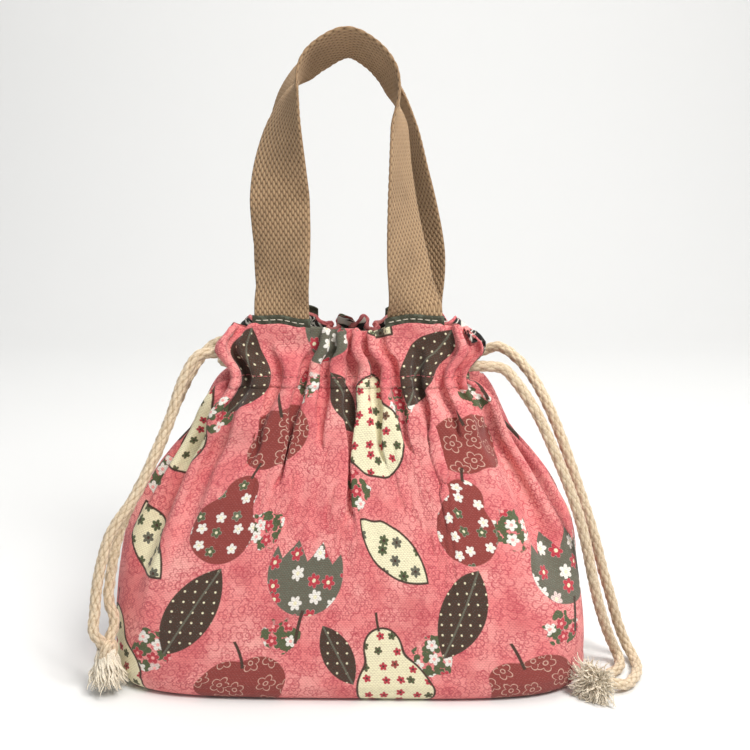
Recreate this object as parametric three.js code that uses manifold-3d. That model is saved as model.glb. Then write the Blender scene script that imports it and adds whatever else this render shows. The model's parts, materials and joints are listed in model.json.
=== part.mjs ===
// Drawstring lunch bag of printed canvas, drawn shut and standing on a table, with two webbing handles.
// Millimetres, +Z up, +X to the right, -Y to the front. The origin is the middle of the base on the table.
import * as THREE from "three";
import { mergeVertices } from "three/addons/utils/BufferGeometryUtils.js";
import Module from "manifold-3d";

const wasm = await Module();
wasm.setup();

// Cloth
const CANVAS = 1.2; // outer cloth with its backing
const LINING = 0.8;
const LINING_GAP = 0.5; // between outer cloth and lining
const SEAM_GAP = 0.3; // between pieces that are sewn to each other

// Body of the bag, outer sizes
const BODY_LENGTH = 244;
const BODY_DEPTH = 122;
const FOOT_RADIUS = 7; // rounding between wall and base
const NECK_LENGTH = 120; // where the body is gathered below the casings
const NECK_HEIGHT = 157;
const LENGTH_POWER = 3.2; // how late the ends draw in towards the neck
const DEPTH_POWER = 1.9; // how late the front and back draw in
const PLAN_POWER = 4.5; // squareness of the body seen from above

// Drawstrings
const CORD_DIAMETER = 5.5;
const CORD_CLEARANCE = 0.85; // between a cord and the cloth or the other cord
const DRAW_TRAVEL = 24; // how far each cord can still be pulled
const KNOT_DIAMETER = 13;
const KNOT_HEIGHT = 11;
const TASSEL_LENGTH = 14;
const TASSEL_NECK = 9; // diameter beside the knot
const TASSEL_SPREAD = 14; // diameter at the frayed end

// Casings
const CASING_LENGTH = 134;
const CASING_SPACING = 36; // between the middles of the two casings
const CASING_ROUNDING = 2.5;

// Handles
const WEBBING_WIDTH = 30;
const WEBBING = 2.2; // thickness
const HANDLE_SPACING = 66; // between the middles of the two legs
const SEWN_DEPTH = 10.4; // length of webbing held inside the rim
const HINGE_RISE = 6; // height of the handle's bend above the rim
const LEG_RISE = 77; // from the bend to the start of the arch
const ARCH_SPAN = 54; // between the middles of the webbing where the arch starts
const ARCH_RISE = 51;
const ARCH_INSET = 5.5; // how far the arch leans in over the mouth
const ARCH_TURN = THREE.MathUtils.degToRad(67); // twist of the webbing between leg and arch
const HANDLE_FOLD = THREE.MathUtils.degToRad(140); // how far a handle folds down from upright

// Routes of the cords after they leave the casings, on the way to their knots
const LEFT_FRONT_ROUTE = [
  [-83, -20, 162.5],
  [-89, -24, 147],
  [-95.5, -28, 130],
  [-103, -33, 110],
  [-112, -38, 91],
  [-119.5, -42, 77],
  [-124.5, -46, 63],
  [-129, -50, 48],
  [-130, -53, 34],
];
const LEFT_BACK_ROUTE = [
  [-81, 9, 168],
  [-90, -3, 155],
  [-97.5, -13, 139],
  [-104.5, -21, 122],
  [-111, -27, 104],
  [-116, -32, 86],
  [-119, -36.5, 68],
  [-120.5, -42, 50],
  [-119.8, -46, 34],
];
const RIGHT_FRONT_ROUTE = [
  [80, -19, 161],
  [87.5, -21, 150],
  [94, -24, 135],
  [101.5, -27, 118],
  [109.5, -30, 99],
  [117.5, -32, 78],
  [124, -31, 58],
  [130.5, -28, 38],
  [136.5, -23, 19],
  [141.5, -20, 8],
  [144, -24, 3.4],
  [142.5, -31, 3.1],
  [138, -37.5, 3.6],
];
const RIGHT_BACK_ROUTE = [
  [80, 13.5, 164],
  [90.5, 7, 156],
  [99, 0.5, 144],
  [106, -4.5, 129],
  [112, -8, 112],
  [118.5, -10.5, 93],
  [125.5, -11.5, 72],
  [132, -11.5, 52],
  [138.5, -10.5, 33],
  [145, -9, 16],
  [150, -11, 6.5],
  [152, -19.5, 3.3],
  [150.5, -30, 3.1],
  [146, -40, 3.1],
  [140, -46, 4],
];
const LEFT_KNOT = new THREE.Vector3(-124.5, -50, 22);
const LEFT_TASSEL_WAY = new THREE.Vector3(0, 0, -1);
const RIGHT_KNOT = new THREE.Vector3(130, -46, 7.2);
const RIGHT_TASSEL_WAY = new THREE.Vector3(-0.5, -0.86, 0);

// Fineness of the facets
const PANEL_COLUMNS = 24;
const FOOT_ROWS = 3;
const WALL_ROWS = 9;
const LEG_ROWS = 8;
const ARCH_ROWS = 22;
const CORD_SIDES = 8;
const CORD_STEP = 13; // length of one facet along a cord
const TURNED_SIDES = 12;

// Sizes that follow from the ones above
const CORD_RADIUS = CORD_DIAMETER / 2;
const CHANNEL_DEPTH = CORD_DIAMETER + 2 * CORD_CLEARANCE;
const CHANNEL_HEIGHT = 2 * CORD_DIAMETER + 3 * CORD_CLEARANCE;
const CASING_DEPTH = CHANNEL_DEPTH + 2 * CANVAS;
const CASING_HEIGHT = CHANNEL_HEIGHT + 2 * CANVAS + SEWN_DEPTH + SEAM_GAP;
const CASING_BOTTOM = NECK_HEIGHT + SEAM_GAP;
const RIM_HEIGHT = CASING_BOTTOM + CASING_HEIGHT;
const CASING_Y = CASING_SPACING / 2;
const CASING_END = CASING_LENGTH / 2;
const NECK_DEPTH = CASING_SPACING + CASING_DEPTH;
const LOWER_CORD = CASING_BOTTOM + CANVAS + CORD_CLEARANCE + CORD_RADIUS;
const UPPER_CORD = LOWER_CORD + CORD_DIAMETER + CORD_CLEARANCE;
const TURN_CENTRE = CASING_END - CASING_Y - CORD_CLEARANCE; // where a cord begins to turn round
const SLIDING_START = CASING_END - DRAW_TRAVEL - CORD_RADIUS; // inner end of the strand that slides
const HINGE_HEIGHT = RIM_HEIGHT + HINGE_RISE;
const HINGE_Y = CASING_Y + CHANNEL_DEPTH / 2 - SEAM_GAP - WEBBING / 2;
const SEWN_BOTTOM = RIM_HEIGHT - CANVAS - SEWN_DEPTH;
const LEG_X = HANDLE_SPACING / 2;

const bag = new THREE.Group();
bag.name = "bento_bag";

function addPart(name, geometry, colour) {
  const material = new THREE.MeshStandardMaterial({ color: colour, roughness: 0.9 });
  const mesh = new THREE.Mesh(geometry, material);
  mesh.name = name;
  bag.add(mesh);
}

function facing(points, triangles) {
  // Turns the triangles round if they face inwards, seen by the volume that they enclose.
  let volume = 0;
  for (let i = 0; i < triangles.length; i += 3) {
    const [a, b, c] = [0, 1, 2].map((k) => points[triangles[i + k]]);
    volume += a.dot(new THREE.Vector3().crossVectors(b, c));
  }
  const ordered = volume < 0 ? [...triangles].reverse() : triangles;
  const geometry = new THREE.BufferGeometry().setFromPoints(points);
  geometry.setIndex(ordered);
  geometry.computeVertexNormals();
  return geometry;
}

function quad(triangles, a, b, c, d) {
  triangles.push(a, b, c, a, c, d);
}

function loft(rings) {
  // Closed solid through rings of points, with a fan across the first and the last ring.
  const count = rings[0].length;
  const triangles = [];
  for (let row = 0; row + 1 < rings.length; row++) {
    for (let i = 0; i < count; i++) {
      const next = (i + 1) % count;
      const low = row * count;
      const high = low + count;
      quad(triangles, low + i, low + next, high + next, high + i);
    }
  }
  const last = (rings.length - 1) * count;
  for (let i = 1; i + 1 < count; i++) {
    triangles.push(0, i + 1, i);
    triangles.push(last, last + i, last + i + 1);
  }
  return facing(rings.flat(), triangles);
}

function sheet(outer, inner) {
  // Closed solid between two grids of points with the same rows and columns.
  const rows = outer.length;
  const columns = outer[0].length;
  const offset = rows * columns;
  const at = (row, column) => row * columns + column;
  const triangles = [];
  for (let row = 0; row + 1 < rows; row++) {
    for (let column = 0; column + 1 < columns; column++) {
      const corners = [at(row, column), at(row, column + 1), at(row + 1, column + 1), at(row + 1, column)];
      quad(triangles, ...corners);
      quad(triangles, ...corners.map((corner) => corner + offset).reverse());
    }
  }
  const edge = [];
  for (let column = 0; column < columns; column++) edge.push(at(0, column));
  for (let row = 1; row < rows; row++) edge.push(at(row, columns - 1));
  for (let column = columns - 2; column >= 0; column--) edge.push(at(rows - 1, column));
  for (let row = rows - 2; row > 0; row--) edge.push(at(row, 0));
  edge.forEach((from, i) => {
    const to = edge[(i + 1) % edge.length];
    quad(triangles, to, from, from + offset, to + offset);
  });
  return facing([...outer.flat(), ...inner.flat()], triangles);
}

function welded(geometry) {
  // Keeps positions only and joins the points that coincide.
  const bare = new THREE.BufferGeometry();
  bare.setAttribute("position", geometry.getAttribute("position"));
  if (geometry.index) bare.setIndex(geometry.index);
  const joined = mergeVertices(bare, 1e-3);
  joined.computeVertexNormals();
  return joined;
}

function solidOf(geometry) {
  const joined = welded(geometry);
  return new wasm.Manifold(
    new wasm.Mesh({
      numProp: 3,
      vertProperties: Float32Array.from(joined.getAttribute("position").array),
      triVerts: Uint32Array.from(joined.index.array),
    }),
  );
}

function geometryOf(solid) {
  const mesh = solid.getMesh();
  const geometry = new THREE.BufferGeometry();
  geometry.setAttribute("position", new THREE.BufferAttribute(mesh.vertProperties, 3));
  geometry.setIndex(new THREE.BufferAttribute(mesh.triVerts, 1));
  geometry.computeVertexNormals();
  return geometry;
}

// Body panels

function bodyRows() {
  // Each row is given by its angle round the foot, or by its height on the wall.
  const rows = [];
  for (let i = 0; i < FOOT_ROWS; i++) {
    rows.push({ angle: (i / FOOT_ROWS) * (Math.PI / 2), height: FOOT_RADIUS });
  }
  for (let i = 0; i <= WALL_ROWS; i++) {
    const height = THREE.MathUtils.lerp(FOOT_RADIUS, NECK_HEIGHT, i / WALL_ROWS);
    rows.push({ angle: Math.PI / 2, height });
  }
  return rows;
}

function drawnIn(body, neck, power, height) {
  const share = (height - FOOT_RADIUS) / (NECK_HEIGHT - FOOT_RADIUS);
  return body - (body - neck) * share ** power;
}

function planPoint(halfLength, halfDepth, angle, height) {
  const cos = Math.cos(angle);
  const sin = Math.sin(angle);
  const reach = (Math.abs(cos) ** PLAN_POWER + Math.abs(sin) ** PLAN_POWER) ** (-1 / PLAN_POWER);
  return new THREE.Vector3(halfLength * cos * reach, halfDepth * sin * reach, height);
}

function wallGrid(side, depth) {
  // Half of the wall from seam to seam, a given depth below its outer face; side is -1 in front, 1 behind.
  return bodyRows().map(({ angle, height }) => {
    const radius = FOOT_RADIUS - depth;
    const inset = FOOT_RADIUS - radius * Math.sin(angle);
    const rise = height - radius * Math.cos(angle);
    const halfLength = drawnIn(BODY_LENGTH, NECK_LENGTH, LENGTH_POWER, height) / 2 - inset;
    const halfDepth = drawnIn(BODY_DEPTH, NECK_DEPTH, DEPTH_POWER, height) / 2 - inset;
    const row = [];
    for (let column = 0; column <= PANEL_COLUMNS; column++) {
      const point = planPoint(halfLength, halfDepth, side * Math.PI * (1 - column / PANEL_COLUMNS), rise);
      point.y += (side * SEAM_GAP) / 2;
      row.push(point);
    }
    return row;
  });
}

function wallPanel(side, depth, thickness) {
  return sheet(wallGrid(side, depth), wallGrid(side, depth + thickness));
}

function basePanel(bottom, thickness) {
  const inset = FOOT_RADIUS + SEAM_GAP;
  const ring = (height) => {
    const points = [];
    for (let i = 0; i < 2 * PANEL_COLUMNS; i++) {
      const angle = (Math.PI * i) / PANEL_COLUMNS;
      points.push(planPoint(BODY_LENGTH / 2 - inset, BODY_DEPTH / 2 - inset, angle, height));
    }
    return points;
  };
  return loft([ring(bottom), ring(bottom + thickness)]);
}

function addBody() {
  const liningDepth = CANVAS + LINING_GAP;
  for (const [name, side] of [["front", -1], ["back", 1]]) {
    addPart(`outer_${name}_panel`, wallPanel(side, 0, CANVAS), 0xe07888);
    addPart(`lining_${name}_panel`, wallPanel(side, liningDepth, LINING), 0xd8d2c4);
  }
  addPart("outer_base_panel", basePanel(0, CANVAS), 0xe07888);
  addPart("lining_base_panel", basePanel(liningDepth, LINING), 0xd8d2c4);
}

// Casings: flat tubes along X, open at both ends

function roundedRectangle(width, height, radius, Kind) {
  const x = width / 2;
  const y = height / 2;
  const outline = new Kind();
  outline.moveTo(x - radius, -y);
  outline.absarc(x - radius, -y + radius, radius, -Math.PI / 2, 0);
  outline.absarc(x - radius, y - radius, radius, 0, Math.PI / 2);
  outline.absarc(-x + radius, y - radius, radius, Math.PI / 2, Math.PI);
  outline.absarc(-x + radius, -y + radius, radius, Math.PI, 1.5 * Math.PI);
  return outline;
}

function casingTube() {
  const shape = roundedRectangle(CASING_DEPTH, CASING_HEIGHT, CASING_ROUNDING, THREE.Shape);
  const inside = CASING_ROUNDING - CANVAS;
  shape.holes.push(
    roundedRectangle(CHANNEL_DEPTH, CASING_HEIGHT - 2 * CANVAS, inside, THREE.Path),
  );
  const tube = new THREE.ExtrudeGeometry(shape, {
    depth: CASING_LENGTH,
    bevelEnabled: false,
    curveSegments: 3,
  });
  // The outline's own x and y become Y and Z, and its extrusion runs along X.
  const turned = new THREE.Matrix4().makeBasis(
    new THREE.Vector3(0, 1, 0),
    new THREE.Vector3(0, 0, 1),
    new THREE.Vector3(1, 0, 0),
  );
  tube.applyMatrix4(turned);
  tube.translate(-CASING_END, 0, CASING_BOTTOM + CASING_HEIGHT / 2);
  return tube;
}

function casing(side) {
  let solid = solidOf(casingTube().translate(0, side * CASING_Y, 0));
  for (const end of [-1, 1]) {
    // The inner wall stops short of each end, where a cord turns round to the other casing.
    const notchLength = CASING_Y + CORD_CLEARANCE;
    const notch = new THREE.BoxGeometry(2 * notchLength, CASING_DEPTH, CASING_HEIGHT - 2 * CANVAS);
    const notchY = CASING_Y - CASING_DEPTH + CANVAS + CASING_ROUNDING;
    notch.translate(end * CASING_END, side * notchY, CASING_BOTTOM + CASING_HEIGHT / 2);
    // A slot in the rim holds the end of the handle.
    const slot = new THREE.BoxGeometry(WEBBING_WIDTH + 2 * SEAM_GAP, WEBBING + 2 * SEAM_GAP, 4 * CANVAS);
    slot.translate(end * LEG_X, side * HINGE_Y, RIM_HEIGHT);
    solid = solid.subtract(solidOf(notch)).subtract(solidOf(slot));
  }
  return geometryOf(solid);
}

function addCasings() {
  addPart("front_casing", casing(-1), 0xd86a7c);
  addPart("back_casing", casing(1), 0xd86a7c);
}

// Handles

function legAndArch(along) {
  // Middle of the webbing in the handle's plane: along runs from -1 at one bend over 0 at the top to 1.
  const legShare = LEG_RISE / (LEG_RISE + (Math.PI / 2) * ((ARCH_RISE + ARCH_SPAN / 2) / 2));
  const reach = 1 - Math.abs(along);
  if (reach < legShare) {
    const share = reach / legShare;
    const x = THREE.MathUtils.lerp(LEG_X, ARCH_SPAN / 2, THREE.MathUtils.smoothstep(share, 0, 1));
    return { x: Math.sign(along) * x, z: HINGE_HEIGHT + share * LEG_RISE };
  }
  const angle = ((reach - legShare) / (1 - legShare)) * (Math.PI / 2);
  const x = (ARCH_SPAN / 2) * Math.cos(angle);
  return { x: Math.sign(along) * x, z: HINGE_HEIGHT + LEG_RISE + ARCH_RISE * Math.sin(angle) };
}

function webbingRing(along, side) {
  const step = 0.01;
  const here = legAndArch(along);
  const before = legAndArch(along - step);
  const after = legAndArch(along + step);
  const tangent = new THREE.Vector3(after.x - before.x, 0, after.z - before.z).normalize();
  const reach = 1 - Math.abs(along);
  const turn = ARCH_TURN * THREE.MathUtils.smoothstep(reach, 0.12, 0.92);
  const inward = new THREE.Vector3(tangent.z, 0, -tangent.x);
  const across = inward.multiplyScalar(Math.cos(turn));
  across.y = -side * Math.sin(turn);
  const facingWay = new THREE.Vector3().crossVectors(tangent, across);
  const lean = ARCH_INSET * THREE.MathUtils.smoothstep(reach, 0, 1);
  const middle = new THREE.Vector3(here.x, side * (HINGE_Y - lean), here.z);
  return flatRing(middle, across, facingWay, WEBBING / 2);
}

function flatRing(middle, across, facingWay, halfThickness) {
  const corners = [[-1, -1], [1, -1], [1, 1], [-1, 1]];
  return corners.map(([u, v]) =>
    middle
      .clone()
      .addScaledVector(across, (u * WEBBING_WIDTH) / 2)
      .addScaledVector(facingWay, v * halfThickness),
  );
}

function roundedEnd(end, side) {
  // The webbing ends in a half round about the line that it bends on.
  const across = new THREE.Vector3(-end, 0, 0);
  const facingWay = new THREE.Vector3(0, 1, 0);
  return [20, 45, 70].map((degrees) => {
    const angle = THREE.MathUtils.degToRad(degrees);
    const drop = (WEBBING / 2) * Math.cos(angle);
    const middle = new THREE.Vector3(end * LEG_X, side * HINGE_Y, HINGE_HEIGHT - drop);
    return flatRing(middle, across, facingWay.clone().multiplyScalar(-end), (WEBBING / 2) * Math.sin(angle));
  });
}

function handle(side) {
  const rows = 2 * (LEG_ROWS + ARCH_ROWS / 2);
  const rings = roundedEnd(-1, side);
  for (let row = 0; row <= rows; row++) {
    rings.push(webbingRing(-1 + (2 * row) / rows, side));
  }
  rings.push(...roundedEnd(1, side).reverse());
  return loft(rings);
}

function sewnEnd(end, side) {
  // A strip with its outer top edge cut back, so that the handle clears it when it is folded right down.
  const half = WEBBING / 2;
  const opening = Math.PI - HANDLE_FOLD;
  const clear = half + SEAM_GAP / 2;
  const topAt = (out) => HINGE_HEIGHT - (clear + out * Math.cos(opening)) / Math.sin(opening);
  const profile = [
    [-half, SEWN_BOTTOM],
    [half, SEWN_BOTTOM],
    [half, topAt(half)],
    [0, topAt(0)],
    [-half, topAt(0)],
  ];
  const ring = (x) => profile.map(([out, z]) => new THREE.Vector3(x, side * (HINGE_Y + out), z));
  const middle = end * LEG_X;
  return loft([ring(middle - WEBBING_WIDTH / 2), ring(middle + WEBBING_WIDTH / 2)]);
}

function addHandles() {
  for (const [name, side] of [["front", -1], ["back", 1]]) {
    addPart(`${name}_handle_loop`, handle(side), 0xb0946e);
    addPart(`${name}_left_handle_end`, sewnEnd(-1, side), 0xa88c66);
    addPart(`${name}_right_handle_end`, sewnEnd(1, side), 0xa88c66);
  }
}

// Drawstrings

function cordAlong(points) {
  const path = new THREE.CatmullRomCurve3(points);
  const shape = new THREE.Shape();
  for (let i = 0; i < CORD_SIDES; i++) {
    const angle = (2 * Math.PI * i) / CORD_SIDES;
    const x = CORD_RADIUS * Math.cos(angle);
    const y = CORD_RADIUS * Math.sin(angle);
    if (i === 0) shape.moveTo(x, y);
    else shape.lineTo(x, y);
  }
  const steps = Math.round(path.getLength() / CORD_STEP);
  return welded(new THREE.ExtrudeGeometry(shape, { steps, extrudePath: path }));
}

function hiddenRun(end, height) {
  // From the strands at one end along both casings, round the far end; end is the side that the cord leaves by.
  const points = [];
  const straight = 5;
  const bends = 8;
  const start = end * (SLIDING_START - SEAM_GAP);
  for (let i = 0; i < straight; i++) {
    const x = THREE.MathUtils.lerp(start, -end * TURN_CENTRE, i / straight);
    points.push(new THREE.Vector3(x, -CASING_Y, height));
  }
  for (let i = 0; i <= bends; i++) {
    const angle = (Math.PI * i) / bends;
    const x = -end * (TURN_CENTRE + CASING_Y * Math.sin(angle));
    points.push(new THREE.Vector3(x, -CASING_Y * Math.cos(angle), height));
  }
  for (let i = 1; i <= straight; i++) {
    const x = THREE.MathUtils.lerp(-end * TURN_CENTRE, start, i / straight);
    points.push(new THREE.Vector3(x, CASING_Y, height));
  }
  return cordAlong(points);
}

function strand(end, side, height, route, knot) {
  // From inside the casing, straight out of its end and along the route to the face of the knot.
  const points = [SLIDING_START, CASING_END].map(
    (x) => new THREE.Vector3(end * x, side * CASING_Y, height),
  );
  for (const [x, y, z] of route) points.push(new THREE.Vector3(x, y, z));
  const arriving = points[points.length - 1].clone().sub(knot);
  const shape = new THREE.Vector3(KNOT_DIAMETER / 2, KNOT_DIAMETER / 2, KNOT_HEIGHT / 2);
  const reach = 1 / arriving.clone().normalize().divide(shape).length();
  points.push(knot.clone().addScaledVector(arriving.normalize(), reach + SEAM_GAP));
  return cordAlong(points);
}

function turned(profile, middle, way) {
  // Solid of revolution: profile lists radius and distance along the way from the middle.
  const axis = way.clone().normalize();
  const turn = new THREE.Quaternion().setFromUnitVectors(new THREE.Vector3(0, 0, 1), axis);
  const rings = profile.map(([radius, distance]) => {
    const ring = [];
    for (let i = 0; i < TURNED_SIDES; i++) {
      const angle = (2 * Math.PI * i) / TURNED_SIDES;
      const point = new THREE.Vector3(radius * Math.cos(angle), radius * Math.sin(angle), distance);
      ring.push(point.applyQuaternion(turn).add(middle));
    }
    return ring;
  });
  return loft(rings);
}

function knotSolid(middle) {
  const bands = 7;
  const profile = [];
  for (let i = 0; i <= bands; i++) {
    const angle = THREE.MathUtils.lerp(-0.45, 0.45, i / bands) * Math.PI;
    profile.push([(KNOT_DIAMETER / 2) * Math.cos(angle), (KNOT_HEIGHT / 2) * Math.sin(angle)]);
  }
  return turned(profile, middle, new THREE.Vector3(0, 0, 1));
}

function tasselSolid(middle, way) {
  const upright = Math.abs(way.z) > 0.5;
  const start = (upright ? KNOT_HEIGHT : KNOT_DIAMETER) / 2 + SEAM_GAP;
  const profile = [
    [TASSEL_NECK / 2, start],
    [TASSEL_SPREAD / 2, start + TASSEL_LENGTH / 2],
    [TASSEL_SPREAD / 2, start + TASSEL_LENGTH],
  ];
  return turned(profile, middle, way);
}

function addDrawstring(name, end, height, frontRoute, backRoute, knot, tasselWay) {
  const colour = 0xe6d6b8;
  addPart(`${name}_cord_hidden_run`, hiddenRun(end, height), colour);
  addPart(`${name}_cord_front_strand`, strand(end, -1, height, frontRoute, knot), colour);
  addPart(`${name}_cord_back_strand`, strand(end, 1, height, backRoute, knot), colour);
  addPart(`${name}_knot`, knotSolid(knot), colour);
  addPart(`${name}_tassel`, tasselSolid(knot, tasselWay), colour);
}

addBody();
addCasings();
addHandles();
addDrawstring("left", -1, UPPER_CORD, LEFT_FRONT_ROUTE, LEFT_BACK_ROUTE, LEFT_KNOT, LEFT_TASSEL_WAY);
addDrawstring("right", 1, LOWER_CORD, RIGHT_FRONT_ROUTE, RIGHT_BACK_ROUTE, RIGHT_KNOT, RIGHT_TASSEL_WAY);

export default bag;
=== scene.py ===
"""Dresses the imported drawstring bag: gathered printed canvas, woven webbing handles, plaited cords."""
import json
import math

import bpy
import numpy as np
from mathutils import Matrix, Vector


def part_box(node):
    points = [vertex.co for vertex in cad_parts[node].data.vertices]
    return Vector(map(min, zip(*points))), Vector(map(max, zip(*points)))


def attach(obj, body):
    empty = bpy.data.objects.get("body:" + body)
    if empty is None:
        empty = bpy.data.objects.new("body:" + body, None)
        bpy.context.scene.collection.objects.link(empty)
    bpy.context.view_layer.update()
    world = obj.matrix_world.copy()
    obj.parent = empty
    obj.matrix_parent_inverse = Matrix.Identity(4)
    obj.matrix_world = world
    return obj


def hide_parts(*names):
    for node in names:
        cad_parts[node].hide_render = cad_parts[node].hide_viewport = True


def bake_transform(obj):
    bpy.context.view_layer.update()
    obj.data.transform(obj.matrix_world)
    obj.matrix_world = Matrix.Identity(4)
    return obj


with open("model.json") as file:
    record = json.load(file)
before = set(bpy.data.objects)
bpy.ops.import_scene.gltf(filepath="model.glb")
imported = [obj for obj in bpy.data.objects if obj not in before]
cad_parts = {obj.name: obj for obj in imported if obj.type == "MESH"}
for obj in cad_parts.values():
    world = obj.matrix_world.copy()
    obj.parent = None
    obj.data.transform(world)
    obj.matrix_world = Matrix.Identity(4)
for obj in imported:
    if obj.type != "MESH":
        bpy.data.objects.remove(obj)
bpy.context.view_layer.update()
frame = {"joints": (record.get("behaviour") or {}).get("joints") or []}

# Sizes that the solids give, in metres
PANEL_LOW, PANEL_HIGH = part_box("outer_front_panel")
CASING_LOW, CASING_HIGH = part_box("front_casing")
HANDLE_END_LOW, HANDLE_END_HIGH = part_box("front_right_handle_end")
BODY_LENGTH = PANEL_HIGH.x - PANEL_LOW.x
BODY_DEPTH = -2 * PANEL_LOW.y
NECK_HEIGHT = PANEL_HIGH.z
NECK_DEPTH = -2 * CASING_LOW.y
RIM_HEIGHT = CASING_HIGH.z
CASING_END = CASING_HIGH.x
CASING_Y = -(CASING_LOW.y + CASING_HIGH.y) / 2
LEG_X = (HANDLE_END_LOW.x + HANDLE_END_HIGH.x) / 2
WEBBING_WIDTH = HANDLE_END_HIGH.x - HANDLE_END_LOW.x
WEBBING = HANDLE_END_HIGH.y - HANDLE_END_LOW.y
SEWN_BOTTOM = HANDLE_END_LOW.z
HINGE = next(joint["pos_m"] for joint in frame["joints"] if joint["name"] == "front_handle_fold")
HINGE_Y = -HINGE[1]
HINGE_HEIGHT = HINGE[2]

# Sizes repeated from the solids' own drawing
FOOT_RADIUS = 0.007
NECK_LENGTH = 0.120
LENGTH_POWER = 3.2
DEPTH_POWER = 1.9
PLAN_POWER = 4.5
CORD_RADIUS = 0.00275
CORD_CLEARANCE = 0.00085
DRAW_TRAVEL = 0.024
ARCH_INSET = 0.0055

# Cloth
CANVAS = 0.0009
LINING = 0.0006
LINING_INSET = 0.0019
BACK_PRINT = np.array([0.071, 0.043])
COLUMNS = 300
FOOT_ROWS = 6
WALL_ROWS = 96
CASING_ROWS = 24
SETTLING_ROUNDS = 170
EASING_ROUNDS = 40
EASED_ROWS = 14  # smoothed on each side of the neck
BASE_CANVAS = (0.0006, 0.0011)  # height and thickness of the base's cloth
BASE_LINING = (0.0022, 0.0007)

# Camera, worked out from the photograph
IMAGE_SIZE = 750
FOCAL_PIXELS = 1070
CAMERA_PLACE = (0.022, -0.544, 0.273)
CAMERA_PITCH = math.radians(12.4)
CAMERA_YAW = math.radians(0.96)

# Courses of the cords after they leave the casings, as the photograph shows them
LEFT_FRONT_ROUTE = [
    (-0.075, -0.0205, 0.1675), (-0.0825, -0.024, 0.156), (-0.0883, -0.028, 0.139),
    (-0.0923, -0.0305, 0.129), (-0.096, -0.0335, 0.1205), (-0.1018, -0.0375, 0.1074),
    (-0.1082, -0.041, 0.096), (-0.1138, -0.0435, 0.0885), (-0.118, -0.0455, 0.081),
    (-0.122, -0.0485, 0.0678), (-0.1245, -0.051, 0.0545), (-0.1253, -0.053, 0.044),
    (-0.1256, -0.056, 0.0348),
]
LEFT_BACK_ROUTE = [
    (-0.075, 0.012, 0.1655), (-0.083, 0.001, 0.1545), (-0.0895, -0.009, 0.14),
    (-0.094, -0.0155, 0.1275), (-0.0986, -0.0215, 0.1157), (-0.106, -0.029, 0.1013),
    (-0.1122, -0.034, 0.0884), (-0.1154, -0.0368, 0.0794), (-0.118, -0.0397, 0.0682),
    (-0.1198, -0.0422, 0.0566), (-0.1204, -0.0446, 0.0469), (-0.1178, -0.0456, 0.0356),
]
RIGHT_FRONT_ROUTE = [
    (0.0775, -0.0195, 0.161), (0.084, -0.0215, 0.1545), (0.0898, -0.0235, 0.1465),
    (0.0955, -0.0255, 0.137), (0.1005, -0.0275, 0.1265), (0.1058, -0.0295, 0.1145),
    (0.1108, -0.031, 0.1025), (0.116, -0.032, 0.088), (0.1205, -0.032, 0.072),
    (0.124, -0.031, 0.057), (0.128, -0.0285, 0.042), (0.133, -0.0245, 0.027),
    (0.1385, -0.019, 0.0135), (0.142, -0.018, 0.006), (0.1425, -0.0235, 0.0032),
    (0.1385, -0.031, 0.0031), (0.1315, -0.0375, 0.0036),
]
RIGHT_BACK_ROUTE = [
    (0.078, 0.014, 0.166), (0.086, 0.0085, 0.162), (0.093, 0.002, 0.155), (0.0985, -0.003, 0.1465),
    (0.104, -0.0075, 0.1355), (0.109, -0.0105, 0.1235), (0.1135, -0.0125, 0.1115),
    (0.1185, -0.014, 0.0975), (0.1235, -0.015, 0.0835), (0.1285, -0.015, 0.068),
    (0.133, -0.0145, 0.052), (0.138, -0.0135, 0.0365), (0.143, -0.012, 0.0205),
    (0.148, -0.012, 0.0085), (0.151, -0.0175, 0.0034), (0.1505, -0.028, 0.0031),
    (0.1465, -0.0385, 0.0031), (0.14, -0.047, 0.0039),
]
LEFT_KNOT = (-0.121, -0.0515, 0.0238)
RIGHT_KNOT = (0.1255, -0.051, 0.0084)

# Each frayed end: its direction, its length from the middle of its knot, the angle that it fans out by,
# and the seed of its fibres
LEFT_TASSEL = ((0.0, 0.0, -1.0), 0.0205, math.radians(20), 11)
RIGHT_TASSEL = ((-0.60, -0.79, 0.10), 0.0125, math.radians(62), 12)

# Colours, as the renderer's linear red, green and blue
PINK = (0.80, 0.215, 0.215)
PINK_LIGHT = (0.93, 0.42, 0.38)
PINK_DARK = (0.58, 0.105, 0.115)
PINK_LINE = (0.50, 0.060, 0.085)
CREAM = (0.87, 0.82, 0.56)
OLIVE_BLACK = (0.042, 0.030, 0.018)
BRICK = (0.26, 0.045, 0.037)
GREY_GREEN = (0.115, 0.127, 0.090)
LEAF_GREEN = (0.07, 0.11, 0.045)
FLOWER_RED = (0.50, 0.04, 0.06)
WHITE = (0.86, 0.83, 0.76)
KHAKI = (0.36, 0.228, 0.124)
# painted shade in the gaps of the webbing, and random wear
KHAKI_SHADE_AND_WEAR = (0.085, 0.047, 0.024)
# painted highlight on the grains of the webbing
KHAKI_HIGHLIGHT = (0.62, 0.45, 0.27)
COTTON = (0.70, 0.56, 0.39)
# painted shade in the grooves of the cord, and random mottling
COTTON_SHADE_AND_MOTTLE = (0.33, 0.22, 0.12)
COTTON_PALE = (0.90, 0.80, 0.62)
YARN = (0.88, 0.79, 0.64)
PALE_THREAD = (0.62, 0.56, 0.45)
PINK_THREAD = (0.50, 0.14, 0.14)
BRICK_LINE = (0.72, 0.46, 0.36)
# painted shade between the canvas threads, and a painted highlight on their crowns
CANVAS_GAP_SHADE = (0.22, 0.045, 0.040)
CANVAS_CROWN_HIGHLIGHT = (1.0, 0.80, 0.72)
BINDING_OLIVE = (0.045, 0.045, 0.028)
LINING_PALE = (0.70, 0.67, 0.60)
LINING_BLACK = (0.018, 0.018, 0.017)
LINING_LINE = (0.72, 0.69, 0.62)
LINING_RED = (0.30, 0.10, 0.09)


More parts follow.
